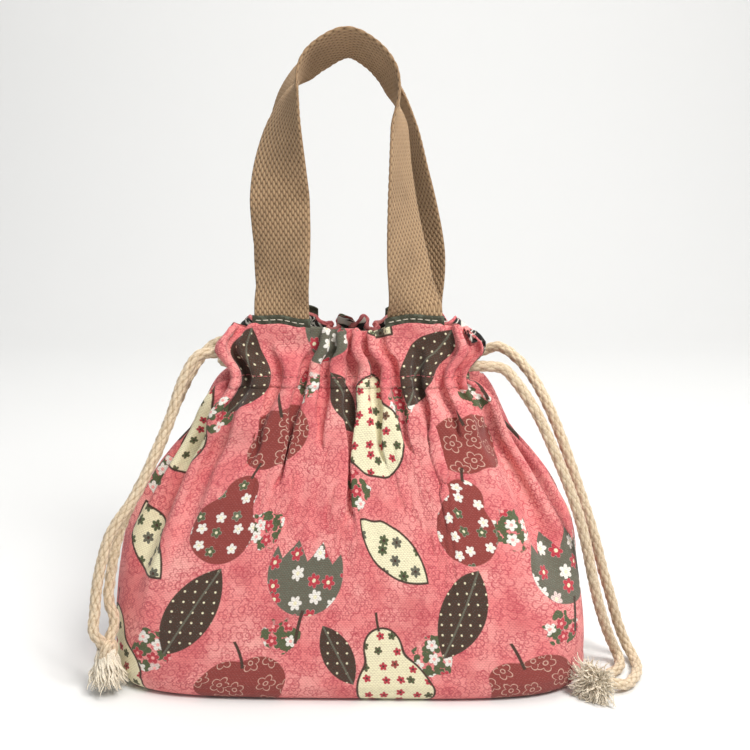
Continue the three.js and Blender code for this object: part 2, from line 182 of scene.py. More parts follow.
def smooth(low, high, value):
    """0 below low, 1 above high and an even curve between them."""
    share = np.clip((value - low) / (high - low), 0.0, 1.0)
    return share * share * (3.0 - 2.0 * share)


def unit(vectors):
    """The vectors with their lengths made 1."""
    return vectors / np.maximum(np.linalg.norm(vectors, axis=-1, keepdims=True), 1e-12)


# Meshes


def mesh_object(name, points, faces, uv=None):
    """A smooth mesh, with the place on the cloth of each point where it is given."""
    mesh = bpy.data.meshes.new(name)
    mesh.from_pydata(np.asarray(points, float).tolist(), [], [list(face) for face in faces])
    mesh.shade_smooth()
    if uv is not None:
        corners = np.zeros(len(mesh.loops), int)
        mesh.loops.foreach_get("vertex_index", corners)
        layer = mesh.uv_layers.new(name="cloth")
        layer.uv.foreach_set("vector", np.asarray(uv, np.float32)[corners].ravel())
    piece = bpy.data.objects.new(name, mesh)
    bpy.context.scene.collection.objects.link(piece)
    return piece


def grid_faces(rows, columns, ring=False):
    """Quads between the rows and columns of a grid of points; ring joins the last column to the first."""
    last = columns if ring else columns - 1
    row, column = np.meshgrid(np.arange(rows - 1), np.arange(last), indexing="ij")
    after = (column + 1) % columns
    low = row * columns
    high = low + columns
    return np.stack([low + column, low + after, high + after, high + column], -1).reshape(-1, 4)


def tube_faces(rows, sides, first=0):
    """Quads along a tube and a cap on each end, for points that are numbered from first."""
    faces = (grid_faces(rows, sides, ring=True) + first).tolist()
    faces.append((np.arange(sides)[::-1] + first).tolist())
    faces.append((np.arange(sides) + first + (rows - 1) * sides).tolist())
    return faces


def sheet_object(name, grid, uv, thickness):
    """Sheet of cloth through a grid of points, with its thickness inside it."""
    rows, columns = grid.shape[:2]
    piece = mesh_object(name, grid.reshape(-1, 3), grid_faces(rows, columns), uv.reshape(-1, 2))
    shell = piece.modifiers.new("thickness", "SOLIDIFY")
    shell.thickness = thickness
    shell.offset = -1
    shell.use_even_offset = False
    return piece


# Body of the bag

# Folds below the casing: place along the front at the neck, depth, half width, height where it runs out
FRONT_FOLDS = [
    (-0.0575, 0.0190, 0.0034, 0.030),
    (-0.0455, 0.0220, 0.0034, 0.036),
    (-0.0315, 0.0080, 0.0028, 0.106),
    (-0.0200, 0.0085, 0.0028, 0.098),
    (-0.0100, 0.0080, 0.0026, 0.118),
    (0.0015, 0.0120, 0.0030, 0.076),
    (0.0125, 0.0085, 0.0028, 0.112),
    (0.0215, 0.0075, 0.0028, 0.124),
    (0.0310, 0.0085, 0.0030, 0.100),
    (0.0405, 0.0075, 0.0028, 0.116),
    (0.0495, 0.0180, 0.0032, 0.046),
    (0.0580, 0.0180, 0.0032, 0.036),
]
BACK_FOLD_COUNT = 12
GUSSET_FOLDS = [(-0.93, 0.0070), (-0.81, 0.0080), (0.81, 0.0080), (0.93, 0.0070)]
FLANK_DEPTH = 0.0150  # folds deeper than this are steep on the side towards the middle of the panel
FLANK_STEEPNESS = 2.2
RIDGE = 0.70  # where the front turns into the side, as a share of the way from the middle to the seam
TUCK = 0.024  # how far the sides are folded in below the neck
NECK_SWELL = 0.0080  # how much deeper the gathered cloth is than the casings
NECK_RIDGE = 0.0045  # how far the cloth stands out between two folds at the neck
NECK_FOLD = 0.0078  # how deep a fold can be at the neck
GUSSET_END = 0.075  # height where the folds of the sides run out
FOLD_WIDTH = 0.0029  # half width of a fold of the back
GUSSET_WIDTH = 0.0028  # half width of a fold of the sides
WAVE = 0.0006  # height of the soft waves of the wall
GATHER_START = 0.125  # height where the cloth begins to gather
CORNER_HEIGHTS = (0.030, 0.090)  # between these the corners get rounder
CORNER_ROUNDING = 1.5
NECK_SQUARENESS = 3.0
TUCK_HEIGHTS = (0.075, 0.150)
TUCK_RELEASE = 0.35  # share of the tuck that opens again towards the neck
WALL_FOLD_WIDTH = 0.0030  # half width of a fold of the wall at the neck
FOLD_SPREAD = 0.03  # how fast a fold widens downwards
FOLD_OPENING = 0.25  # how fast a fold may deepen downwards
WALL_SLACK = 0.0022  # how far a wall may go in, on its own and in the folds
FOLD_SLACK = 0.012
LINING_SLACK = 0.0145
SLACK_HEIGHTS = (0.045, 0.130)
OUTER_SLACK = 0.0010  # how far a wall may go out, on its own and at the neck
NECK_SLACK = 0.0055
FILLING = 0.00004  # how far the filling pushes the front out in each round


def back_folds():
    """Folds of the back panel, which the photograph doesn't show, spaced unevenly."""
    chance = np.random.default_rng(7)
    folds = []
    for place in np.linspace(-0.056, 0.056, BACK_FOLD_COUNT):
        shift = chance.uniform(-0.002, 0.002)
        depth = chance.uniform(0.0075, 0.0105)
        end = chance.uniform(0.084, 0.122)
        folds.append((place + shift, depth, FOLD_WIDTH, end))
    return folds


def drawn_in(body, neck, power, height):
    """A size of the body at a height, on its way from the body to the neck."""
    share = np.clip((height - FOOT_RADIUS) / (NECK_HEIGHT - FOOT_RADIUS), 0.0, 1.0)
    return body - (body - neck) * share**power


def lengths_along(line):
    """How far along a line each of its points is."""
    return np.concatenate([[0], np.cumsum(np.linalg.norm(np.diff(line, axis=0), axis=1))])


def at_lengths(line, along, wanted):
    """Values on a line at the wanted lengths along it."""
    return np.stack([np.interp(wanted, along, line[:, k]) for k in range(line.shape[1])], -1)


def resampled(line, count):
    """The given number of points an even step apart on a line."""
    along = lengths_along(line)
    return at_lengths(line, along, np.linspace(0, along[-1], count))


def plan_ring(half_length, half_depth, power, count):
    """Half of the outline seen from above, from the left seam round the front to the right one."""
    angle = np.linspace(math.pi, 2 * math.pi, 2001)
    cos = np.cos(angle)
    sin = np.sin(angle)
    reach = (np.abs(cos) ** power + np.abs(sin) ** power) ** (-1 / power)
    return resampled(np.stack([half_length * cos * reach, half_depth * sin * reach], -1), count)


def wall_rows():
    """Angle of each row round the rounded foot, and its height."""
    foot = np.linspace(0, math.pi / 2, FOOT_ROWS, endpoint=False)
    angles = np.concatenate([foot, np.full(WALL_ROWS + 1, math.pi / 2)])
    wall = np.linspace(FOOT_RADIUS, NECK_HEIGHT, WALL_ROWS + 1)
    return angles, np.concatenate([np.full(FOOT_ROWS, FOOT_RADIUS), wall])


def row_sizes(angle, height):
    """Half length, half depth and squareness of the body's outline on one row."""
    inset = FOOT_RADIUS * (1 - math.sin(angle))
    gathered = float(smooth(GATHER_START, NECK_HEIGHT, height))
    rounded = float(smooth(*CORNER_HEIGHTS, height)) * (1 - gathered)
    length = drawn_in(BODY_LENGTH, NECK_LENGTH, LENGTH_POWER, height) / 2 - inset
    depth = drawn_in(BODY_DEPTH, NECK_DEPTH + NECK_SWELL, DEPTH_POWER, height) / 2 - inset
    return length, depth, PLAN_POWER - CORNER_ROUNDING * rounded + NECK_SQUARENESS * gathered


def tucked_in(share, height):
    """How far the side gusset is folded in at one height."""
    gusset = np.clip((np.abs(share) - RIDGE) / (1 - RIDGE), 0, 1)
    release = 1 - TUCK_RELEASE * smooth(GATHER_START, NECK_HEIGHT, height)
    amount = TUCK * smooth(*TUCK_HEIGHTS, height) * release
    return amount * np.sin(gusset * math.pi / 2) ** 1.5


def outward_of(ring):
    """Outward direction at each point of an outline seen from above."""
    tangent = np.gradient(ring, axis=0)
    return unit(np.stack([tangent[:, 1], -tangent[:, 0]], -1))


def neck_row(folds):
    """The gathered upper edge of a wall, and where on the cloth each of its folds is."""
    length, depth, power = row_sizes(math.pi / 2, NECK_HEIGHT)
    ring = plan_ring(length, depth, power, 2401)
    share = np.linspace(-1, 1, len(ring))
    width = lengths_along(ring)[-1] / 2
    front = np.flatnonzero(np.abs(share) < RIDGE)
    marks = [(np.interp(fold[0], ring[front, 0], share[front]), fold[1], fold[2]) for fold in folds]
    marks += [(mark, fold_depth, GUSSET_WIDTH) for mark, fold_depth in GUSSET_FOLDS]
    out = NECK_RIDGE - tucked_in(share, NECK_HEIGHT)
    for mark, fold_depth, half_width in marks:
        out -= min(fold_depth, NECK_FOLD) * np.exp(-(((share - mark) * width / half_width) ** 2))
    line = ring + outward_of(ring) * out[:, None]
    along = lengths_along(line)
    cloth = 2 * along / along[-1] - 1
    columns = [float(np.interp(mark[0], share, cloth)) for mark in marks]
    return resampled(line, COLUMNS + 1), columns


def folded_in(out, share, half, height, marks):
    """One row's distances from the plain outline with the folds sunk in; half is half the row's length."""
    for column, fold_depth, end in marks:
        width = WALL_FOLD_WIDTH + (FOLD_SPREAD + 4 * fold_depth) * (NECK_HEIGHT - height)
        sunk = fold_depth * smooth(end, NECK_HEIGHT, height) ** 0.8
        sunk = min(sunk, NECK_FOLD + FOLD_OPENING * (NECK_HEIGHT - height))
        apart = (share - column) * half / width
        if fold_depth > FLANK_DEPTH:
            apart = np.where(apart * column < 0, apart * FLANK_STEEPNESS, apart)
        out = out - sunk * np.exp(-(apart**2))
    return out


def wall_grid(folds, seed):
    """The gathered wall of one panel, drawn as the front one, with its cloth coordinates."""
    chance = np.random.default_rng(seed)
    share = np.linspace(-1, 1, COLUMNS + 1)
    waves = [(chance.uniform(2.2, 7.5), chance.uniform(0, 6.3), chance.uniform(-14, 14)) for _ in range(6)]
    top, columns = neck_row(folds)
    ends = [fold[3] for fold in folds] + [GUSSET_END] * len(GUSSET_FOLDS)
    depths = [fold[1] for fold in [*folds, *GUSSET_FOLDS]]
    marks = list(zip(columns, depths, ends))
    rows = []
    plain = []
    for angle, height in zip(*wall_rows()):
        rise = height - FOOT_RADIUS * math.cos(angle)
        length, depth, power = row_sizes(angle, height)
        ring = plan_ring(length, depth, power, COLUMNS + 1)
        half = lengths_along(ring)[-1] / 2
        out = NECK_RIDGE * smooth(0.10, NECK_HEIGHT, height) - tucked_in(share, height)
        plain.append(np.column_stack([ring, np.full(COLUMNS + 1, rise)]))
        out = folded_in(out, share, half, height, marks)
        soft = smooth(0.004, 0.03, rise) * (1 - smooth(0.12, 0.15, rise))
        for pace, phase, lean in waves:
            out += WAVE * soft * np.sin(pace * math.pi * share + phase + lean * rise / 0.15)
        place = ring + outward_of(ring) * out[:, None]
        rows.append(np.column_stack([place, np.full(COLUMNS + 1, rise)]))
    rows[-1][:, :2] = top
    grid = np.array(rows)
    plain = np.array(plain)
    step = np.linalg.norm(np.diff(plain, axis=0), axis=2)
    up = np.concatenate([np.zeros((1, COLUMNS + 1)), np.cumsum(step, axis=0)])
    belly = lengths_along(plain[FOOT_ROWS + 4])[-1]
    uv = np.stack([np.broadcast_to(share * belly / 2, up.shape), up], -1)
    return grid, uv


def spring_groups(rows, columns, down, across):
    """Pairs of points a given step apart on a grid, in two groups in which no point comes twice."""
    row, column = np.meshgrid(np.arange(rows - down), np.arange(columns - abs(across)), indexing="ij")
    parity = (row // down) % 2 if down else (column // across) % 2
    column = column + max(-across, 0)
    first = row * columns + column
    second = first + down * columns + across
    return [(first[parity == k], second[parity == k]) for k in (0, 1)]


# Threads, the slant of the weave and bending: rows and columns apart, pull, push
THREADS = [(0, 1, 1.0, 0.7), (1, 0, 1.0, 0.5), (1, 1, 0.25, 0.15), (1, -1, 0.25, 0.15)]
BENDING = [(0, 3, 0.0, 0.10), (3, 0, 0.0, 0.20), (0, 6, 0.0, 0.03), (6, 0, 0.0, 0.12)]


def settle(grid, uv, held, there, limit):
    """Lets a sheet settle: threads keep their lengths, the cloth resists bending and keeps its limits."""
    rows, columns = grid.shape[:2]
    points = grid.reshape(-1, 3).copy()
    flat = uv.reshape(-1, 2)
    free = 1.0 - held.reshape(-1)
    cloth = there.reshape(-1)
    springs = []
    for down, across, pull, push in THREADS + BENDING:
        for first, second in spring_groups(rows, columns, down, across):
            kept = cloth[first] & cloth[second]
            first = first[kept]
            second = second[kept]
            rest = np.linalg.norm(flat[first] - flat[second], axis=1)
            both = np.maximum(free[first] + free[second], 1e-9)
            springs.append((first, second, rest, free[first] / both, free[second] / both, pull, push))
    for _ in range(SETTLING_ROUNDS):
        for first, second, rest, share_first, share_second, pull, push in springs:
            way = points[second] - points[first]
            length = np.maximum(np.linalg.norm(way, axis=1), 1e-9)
            error = (length - rest) / length
            move = way * (np.where(error > 0, pull, push) * error)[:, None]
            points[first] += move * share_first[:, None]
            points[second] -= move * share_second[:, None]
        moved = limit(points.reshape(rows, columns, 3)).reshape(-1, 3)
        points += (moved - points) * free[:, None]
    return points.reshape(rows, columns, 3)


def body_limit(share):
    """Keeps a wall between its filling and the size that the bag has in the photograph."""
    sizes = [row_sizes(angle, height) for angle, height in zip(*wall_rows())]
    length, depth, power = (np.array(values)[:, None] for values in zip(*sizes))
    heights = np.array([height for _, height in zip(*wall_rows())])[:, None]
    slack = WALL_SLACK + FOLD_SLACK * smooth(*SLACK_HEIGHTS, heights)
    reach = OUTER_SLACK + NECK_SLACK * smooth(0.11, NECK_HEIGHT, heights)
    on_front = (np.abs(share) < RIDGE - 0.04)[None, :]
    swelling = FILLING * on_front * smooth(0.0, 0.02, heights) * (1 - smooth(0.13, NECK_HEIGHT, heights))

    def limited(points):
        kept = points.copy()
        kept[..., 1] -= swelling
        x = np.abs(kept[..., 0])
        y = np.abs(kept[..., 1])
        outer = ((x / (length + OUTER_SLACK)) ** power + (y / (depth + reach)) ** power) ** (1 / power)
        inner = ((x / (length - slack)) ** power + (y / (depth - slack)) ** power) ** (1 / power)
        scale = np.where(outer > 1, 1 / outer, 1.0)
        scale = np.where(on_front & (inner < 1), 1 / np.maximum(inner, 0.2), scale)
        kept[..., :2] *= scale[..., None]
        return kept

    return limited


# Casings

# Half length of a casing: share of its height, half length
CASING_ENDS = np.array([(0, 0.0565), (0.3, 0.0615), (0.52, 0.0660), (0.75, 0.0640), (1, 0.0585)])
STRAP_FROM = 0.0175  # where the rim is flat for a handle
STRAP_TO = 0.0485
STRAP_EASE = 0.003
CHANNEL_FACE = 0.0036  # from the middle of a cord's channel to its front
BINDING_Y = HINGE_Y + WEBBING / 2 + 0.0007
BINDING_RISE = 0.0050
BINDING_ROWS = np.linspace(-0.4, 1, 7)  # from behind the rim to the upper edge
HEM_DEPTH = 0.0030  # from the outer layer to the inner one at the rim
CASING_TAPER = 0.86  # width of the cloth at the rim against its width at the neck
LAP_ROWS = 2  # rows of the wall that the casing lies over
LAP_LIFT = 0.0003
STRAP_LIFT = 0.0010  # how far the cloth stands out over a handle's foot
RIM_LEAN = 0.006  # how far the rim leans in between the handles, and at most
RIM_LEAN_MOST = 0.012
OVER_WEBBING = (0.0010, 0.0022)  # nearest and furthest of the cloth in front of the webbing
CASING_SWELL = 0.0122  # how far the cloth may stand out in front of the cords, and how much less at the rim
SWELL_TAPER = 0.003
END_SLACK = 0.0012
LEVEL_SLACK = 0.0022
ROLL_RISE = 0.0014
ROLL_LENGTH = 0.0042
FACING_BEHIND = 0.0042  # how far behind the middle of its cords the inner layer hangs
BINDING_BOW = 0.0005
SEAM_ROW = 2  # row of the casing that is topstitched
BINDING_SEAM_ROW = 4
SEAM_STITCH = (0.0030, 0.0020, 0.00022)  # pitch, length and radius of the stitches
BINDING_STITCH = (0.0036, 0.0025, 0.00026)

# How far the rim hangs below the casing's height, along the front and along the back seen from behind
FRONT_SAG = np.array([
    (-0.060, 0.0030), (-0.049, 0.0010), (-0.033, 0.0022), (-0.018, 0.0045), (-0.0135, 0.0035),
    (-0.0095, 0.0058), (0.008, 0.0062), (0.0125, 0.0068), (0.0165, 0.0035), (0.019, 0.0004),
    (0.033, 0.0006), (0.049, 0.0018), (0.060, 0.0032),
])
BACK_SAG = np.array([
    (-0.060, 0.0075), (-0.050, 0.0050), (-0.047, 0.0008), (-0.020, 0.0008), (-0.016, 0.0080),
    (-0.011, 0.0102), (-0.0055, 0.0042), (-0.0005, 0.0098), (0.0045, 0.0044), (0.0095, 0.0102),
    (0.016, 0.0080), (0.020, 0.0008), (0.047, 0.0008), (0.050, 0.0050), (0.060, 0.0075),
])


def casing_start(wall, wall_uv, sag):
    """A casing before it settles: rows from the neck to the rim above a wall, its rim as the sag says."""
    base = wall[-1]
    cloth = wall_uv[-1, :, 0]
    inside = np.abs(np.linspace(-1, 1, COLUMNS + 1)) < RIDGE - 0.02
    half = np.abs(base[inside, 0]).max()
    edge = np.abs(cloth[inside]).max()
    middle = (STRAP_FROM + STRAP_TO) / 2 / half * edge
    flat_half = (STRAP_TO - STRAP_FROM) / 2
    marks = [0, middle - flat_half, middle + flat_half, edge]
    places = [0, STRAP_FROM, STRAP_TO, CASING_ENDS[-1, 1]]
    rim_x = np.sign(cloth) * np.interp(np.abs(cloth), marks, places)
    on_cloth = np.abs(cloth)
    past_start = smooth(marks[1] - STRAP_EASE, marks[1], on_cloth)
    past_end = smooth(marks[2], marks[2] + STRAP_EASE, on_cloth)
    at_strap = past_start * (1 - past_end)
    ripple = -base[:, 1] - (-base[inside, 1]).min()
    rim = RIM_HEIGHT - np.interp(rim_x, *sag.T)
    rows = []
    for up in np.linspace(0, 1, CASING_ROWS):
        end = np.interp(up, *CASING_ENDS.T)
        spread = smooth(0.15, 0.75, up)
        x = base[:, 0] / half * end * (1 - spread) + rim_x * end / CASING_ENDS[-1, 1] * spread
        loose = 1 - at_strap * smooth(0.25, 0.65, up)
        face = CASING_Y + CHANNEL_FACE + STRAP_LIFT * at_strap
        face = face - RIM_LEAN * (1 - at_strap) * smooth(0.72, 1.0, up)
        y = -base[:, 1] * (1 - smooth(0, 0.25, up)) + (face + ripple * loose) * smooth(0, 0.25, up)
        rows.append(np.column_stack([x, -y, NECK_HEIGHT + up * (rim - NECK_HEIGHT)]))
    rise = np.linspace(0, RIM_HEIGHT - NECK_HEIGHT, CASING_ROWS)[:, None]
    taper = np.linspace(1, CASING_TAPER, CASING_ROWS)[:, None]
    uv = np.stack(np.broadcast_arrays(cloth[None, :] * taper, wall_uv[-1, :, 1][None, :] + rise), -1)
    return np.array(rows), uv, at_strap, inside


def casing_limit(at_strap, level):
    """Keeps a casing's outer layer in front of its cords and of the handle's sewn ends."""
    up = np.linspace(0, 1, CASING_ROWS)[1:, None]
    face = CASING_Y + CHANNEL_FACE - RIM_LEAN_MOST * smooth(0.70, 0.92, up)
    sewn = (at_strap > 0.5)[None, :] & (up > 0.5)
    swollen = CASING_Y + CASING_SWELL - SWELL_TAPER * up
    nearest = np.where(sewn, HINGE_Y + WEBBING / 2 + OVER_WEBBING[0], face)
    furthest = np.where(sewn, HINGE_Y + WEBBING / 2 + OVER_WEBBING[1], swollen)
    end = np.interp(up[:, 0], *CASING_ENDS.T)[:, None] + END_SLACK

    def limited(points):
        kept = points.copy()
        kept[..., 1] = -np.clip(-kept[..., 1], nearest, furthest)
        kept[..., 0] = np.clip(kept[..., 0], -end, end)
        kept[..., 2] = np.clip(kept[..., 2], level - LEVEL_SLACK * up, level + LEVEL_SLACK * up)
        return kept

    return limited


def eased(grid, neck, columns):
    """The grid with the crease along its neck row smoothed out."""
    rows = np.arange(len(grid))
    share = np.clip(1 - np.abs(rows - neck) / EASED_ROWS, 0, 1)[:, None, None] * columns[None, :, None]
    for _ in range(EASING_ROUNDS):
        between = grid.copy()
        between[1:-1] = (grid[:-2] + grid[2:]) / 2
        grid = grid + (between - grid) * 0.5 * share
    return grid


def settled_panel(folds, seed, sag):
    """A wall and the casing above it, settled as one sheet of cloth."""
    wall, wall_uv = wall_grid(folds, seed)
    casing, casing_uv, at_strap, inside = casing_start(wall, wall_uv, sag)
    grid = np.concatenate([wall, casing[1:]])
    uv = np.concatenate([wall_uv, casing_uv[1:]])
    neck = len(wall)
    there = np.ones(grid.shape[:2], bool)
    there[neck:] = inside[None, :]
    held = np.zeros(grid.shape[:2])
    held[: FOOT_ROWS + 1] = 1
    held[:, 0] = 1
    held[:, -1] = 1
    held[neck - 1] = np.where(inside, 0, 1)
    share = np.linspace(-1, 1, COLUMNS + 1)
    on_body = body_limit(share)
    on_casing = casing_limit(at_strap, casing[1:, :, 2])

    def limit(points):
        return np.concatenate([on_body(points[:neck]), on_casing(points[neck:])])

    grid = settle(grid, uv, held, there, limit)
    grid = eased(grid, neck - 1, inside)
    first = neck - 1 - LAP_ROWS
    return grid[:neck], wall_uv, grid[first:, inside], uv[first:, inside], at_strap[inside]


def lapped(cloth):
    """The cloth of a casing with its lowest rows lifted a little, to lie over the wall."""
    share = np.zeros(len(cloth))
    share[: LAP_ROWS + 1] = np.linspace(1, 0.4, LAP_ROWS + 1)
    return inner_grid(cloth, -LAP_LIFT * share[:, None, None])


def hem_grid(outer, uv):
    """The outer layer with its edge rolled over at the rim."""
    inward = inner_grid(outer, HEM_DEPTH)[-1]
    rolled = []
    turns = (0.12, 0.35, 0.65, 0.88, 1.0)
    for turn in turns:
        row = outer[-1] * (1 - turn) + inward * turn
        row[:, 2] += ROLL_RISE * math.sin(turn * math.pi)
        rolled.append(row)
    extra = np.array([uv[-1] + np.array([0, ROLL_LENGTH * turn]) for turn in turns])
    return np.concatenate([outer, rolled]), np.concatenate([uv, extra])


def facing_grid(outer, uv):
    """The inner layer of a casing: against the outer one at the rim, behind the cords further down."""
    rows = []
    close = inner_grid(outer, HEM_DEPTH)
    for index in range(CASING_ROWS - 1, -1, -1):
        up = index / (CASING_ROWS - 1)
        apart = 1 - smooth(0.60, 0.80, up)
        row = close[index].copy()
        behind = -(CASING_Y - FACING_BEHIND) - 0.25 * (-outer[index, :, 1] - CASING_Y - CHANNEL_FACE)
        row[:, 1] = row[:, 1] * (1 - apart) + behind * apart
        rows.append(row)
    return np.array(rows), uv[::-1]


def turned_round(grid):
    """The same grid half a turn about the upright axis, for the back of the bag."""
    return grid * np.array([-1.0, -1.0, 1.0])


def inner_grid(grid, distance):
    """The grid moved towards the inside of the bag by a distance."""
    along = np.gradient(grid, axis=1)
    up = np.gradient(grid, axis=0)
    normal = unit(np.cross(up, along))
    return grid + normal * distance


def lining_grid():
    """A lining that hangs inside a wall, clear of the folds near the neck."""
    rows = []
    share = np.linspace(-1, 1, COLUMNS + 1)[::2]
    for angle, height in list(zip(*wall_rows()))[::2]:
        length, depth, power = row_sizes(angle, height)
        clear = LINING_INSET + WALL_SLACK * smooth(0.01, 0.03, height)
        clear += LINING_SLACK * smooth(*SLACK_HEIGHTS, height)
        ring = plan_ring(length - clear, depth - clear, power, len(share))
        place = ring - outward_of(ring) * (tucked_in(share, height) * 1.1)[:, None]
        rise = height - FOOT_RADIUS * math.cos(angle) + LINING_INSET * math.cos(angle)
        rows.append(np.column_stack([place, np.full(len(share), rise)]))
    return np.array(rows)


def base_disc(name, height, thickness):
    """A flat cloth that fills the outline of the base."""
    half_length = BODY_LENGTH / 2 - FOOT_RADIUS
    half_depth = BODY_DEPTH / 2 - FOOT_RADIUS
    front = plan_ring(half_length, half_depth, PLAN_POWER, COLUMNS + 1)
    outline = np.concatenate([front[:-1], -front[:-1]])[::3]
    count = len(outline)
    shares = np.linspace(1, 0.02, 16)
    rings = np.array([np.column_stack([outline * share, np.full(count, height)]) for share in shares])
    points = rings.reshape(-1, 3)
    faces = grid_faces(len(shares), count, ring=True).tolist()
    faces.append(list(range((len(shares) - 1) * count, len(shares) * count)))
    piece = mesh_object(name, points, faces, points[:, :2])
    piece.data.shade_flat()
    shell = piece.modifiers.new("thickness", "SOLIDIFY")
    shell.thickness = thickness
    shell.offset = 0
    return piece


# Cords

PATH_STEP = 0.0007
HIDDEN_STEP = 0.0012
CORD_SIDES = 28
PLAITS = 5
PLAIT_PITCH = 0.0078
GROOVE_REACH = 0.74  # radius in the grooves between the plaits, as a share of the cord's
PLAIT_REACH = 0.32  # what the plaits add to it
KNOT_SIZE = 0.0120
KNOT_HEIGHT = 0.0110
FIBRE_SIDES = 5
FIBRES = 380
YARNS = 190  # how many of the fibres are thick yarns
YARN_RADIUS = 0.00070
HAIR_RADIUS = 0.00018
TASSEL_ROOT = 0.0042  # radius of a frayed end where it leaves its knot
YARN_FLOOR = 0.0008  # lowest place of the middle of a yarn


def mixed(t, low, high, first, second):
    """A value that goes from first to second while t goes from low to high."""
    return (high - t) / (high - low) * first + (t - low) / (high - low) * second


def even_path(points, step):
    """Points an even step apart on a smooth curve through the given ones, by centripetal Catmull-Rom."""
    given = np.array(points, float)
    given = np.concatenate([[2 * given[0] - given[1]], given, [2 * given[-1] - given[-2]]])
    fine = []
    for a, b, c, d in zip(given, given[1:], given[2:], given[3:]):
        steps = [math.sqrt(np.linalg.norm(after - before)) for before, after in ((a, b), (b, c), (c, d))]
        knots = np.cumsum([0] + steps)
        t = np.linspace(knots[1], knots[2], 24, endpoint=False)[:, None]
        ab = mixed(t, knots[0], knots[1], a, b)
        bc = mixed(t, knots[1], knots[2], b, c)
        cd = mixed(t, knots[2], knots[3], c, d)
        abc = mixed(t, knots[0], knots[2], ab, bc)
        bcd = mixed(t, knots[1], knots[3], bc, cd)
        fine.append(mixed(t, knots[1], knots[2], abc, bcd))
    line = np.concatenate(fine + [given[-2:-1]])
    return resampled(line, max(4, int(lengths_along(line)[-1] / step)))


def frames_along(path):
    """A side and an upper direction at each point of a path, carried along it without twisting."""
    tangent = unit(np.gradient(path, axis=0))
    start = np.cross(tangent[0], [0.31, 0.17, 0.93])
    sides = [unit(start)]
    for way in tangent[1:]:
        carried = sides[-1] - way * np.dot(sides[-1], way)
        sides.append(unit(carried))
    sides = np.array(sides)
    return sides, np.cross(tangent, sides)


def turns_of(sides):
    """Angles of the sides of a tube."""
    return np.linspace(0, 2 * math.pi, sides, endpoint=False)


def ring_along(path, sides):
    """Directions from each point of a path to the sides of a tube round it."""
    side, upper = frames_along(path)
    angle = turns_of(sides)
    return side[:, None] * np.cos(angle)[None, :, None] + upper[:, None] * np.sin(angle)[None, :, None]


def braid_height(angle, along):
    """Height of a plaited surface, 0 in the grooves and 1 on the strands, which pass over and under."""
    first = PLAITS * angle / (2 * math.pi) + along / PLAIT_PITCH
    second = PLAITS * angle / (2 * math.pi) - along / PLAIT_PITCH
    over = (np.floor(first) + np.floor(second)) % 2 < 0.5
    across_first = np.sin(math.pi * (first % 1))
    across_second = np.sin(math.pi * (second % 1))
    crown = np.where(over, across_first, across_second)
    length = np.where(over, across_second, across_first)
    return np.sqrt(np.clip(crown, 0, 1)) * (0.45 + 0.55 * length)


def cord_object(name, path, radius):
    """Plaited cord along a path, closed at both ends."""
    angle = turns_of(CORD_SIDES)
    along = lengths_along(path)
    reach = radius * (GROOVE_REACH + PLAIT_REACH * braid_height(angle[None, :], along[:, None]))
    points = path[:, None] + ring_along(path, CORD_SIDES) * reach[..., None]
    uv = np.stack(np.meshgrid(angle / (2 * math.pi), along), -1)
    return mesh_object(name, points.reshape(-1, 3), tube_faces(len(path), CORD_SIDES), uv.reshape(-1, 2))


def strand_path(end, side, height, route, knot):
    """One free strand: out of its casing, along its course and into the knot."""
    inside = (end * (CASING_END - DRAW_TRAVEL - CORD_RADIUS), side * CASING_Y, height)
    mouth = (end * CASING_END, side * CASING_Y, height)
    into_knot = np.array(knot) + (np.array(route[-1]) - np.array(knot)) * 0.25
    return even_path([inside, mouth, *route, into_knot], PATH_STEP)


def hidden_path(end, height):
    """The run of a cord inside both casings, round the end away from its strands."""
    start = end * (CASING_END - DRAW_TRAVEL - CORD_RADIUS - 0.0003)
    turn_x = CASING_END - CASING_Y - CORD_CLEARANCE
    points = [(x, -CASING_Y, height) for x in np.linspace(start, -end * turn_x, 5, endpoint=False)]
    for angle in np.linspace(0, math.pi, 9):
        points.append((-end * (turn_x + CASING_Y * math.sin(angle)), -CASING_Y * math.cos(angle), height))
    points += [(x, CASING_Y, height) for x in np.linspace(-end * turn_x, start, 6)[1:]]
    return even_path(points, HIDDEN_STEP)


def knot_object(name, middle):
    """A tight overhand knot, as a closed plaited loop that passes over and under itself."""
    turn = np.linspace(0, 2 * math.pi, 260)
    reach = KNOT_SIZE / 2 - CORD_RADIUS
    x = np.sin(turn) + 2 * np.sin(2 * turn)
    y = np.cos(turn) - 2 * np.cos(2 * turn)
    loop = np.stack([x, y, -np.sin(3 * turn)], -1)
    loop *= np.array([reach / 3, reach / 3, KNOT_HEIGHT / 2 - CORD_RADIUS])
    return cord_object(name, loop + np.array(middle), CORD_RADIUS * 0.94)


def fibre(path, radius):
    """One thin fibre that tapers to its free end."""
    taper = radius * (1 - 0.75 * np.linspace(0, 1, len(path)) ** 2)
    return (path[:, None] + ring_along(path, FIBRE_SIDES) * taper[:, None, None]).reshape(-1, 3)


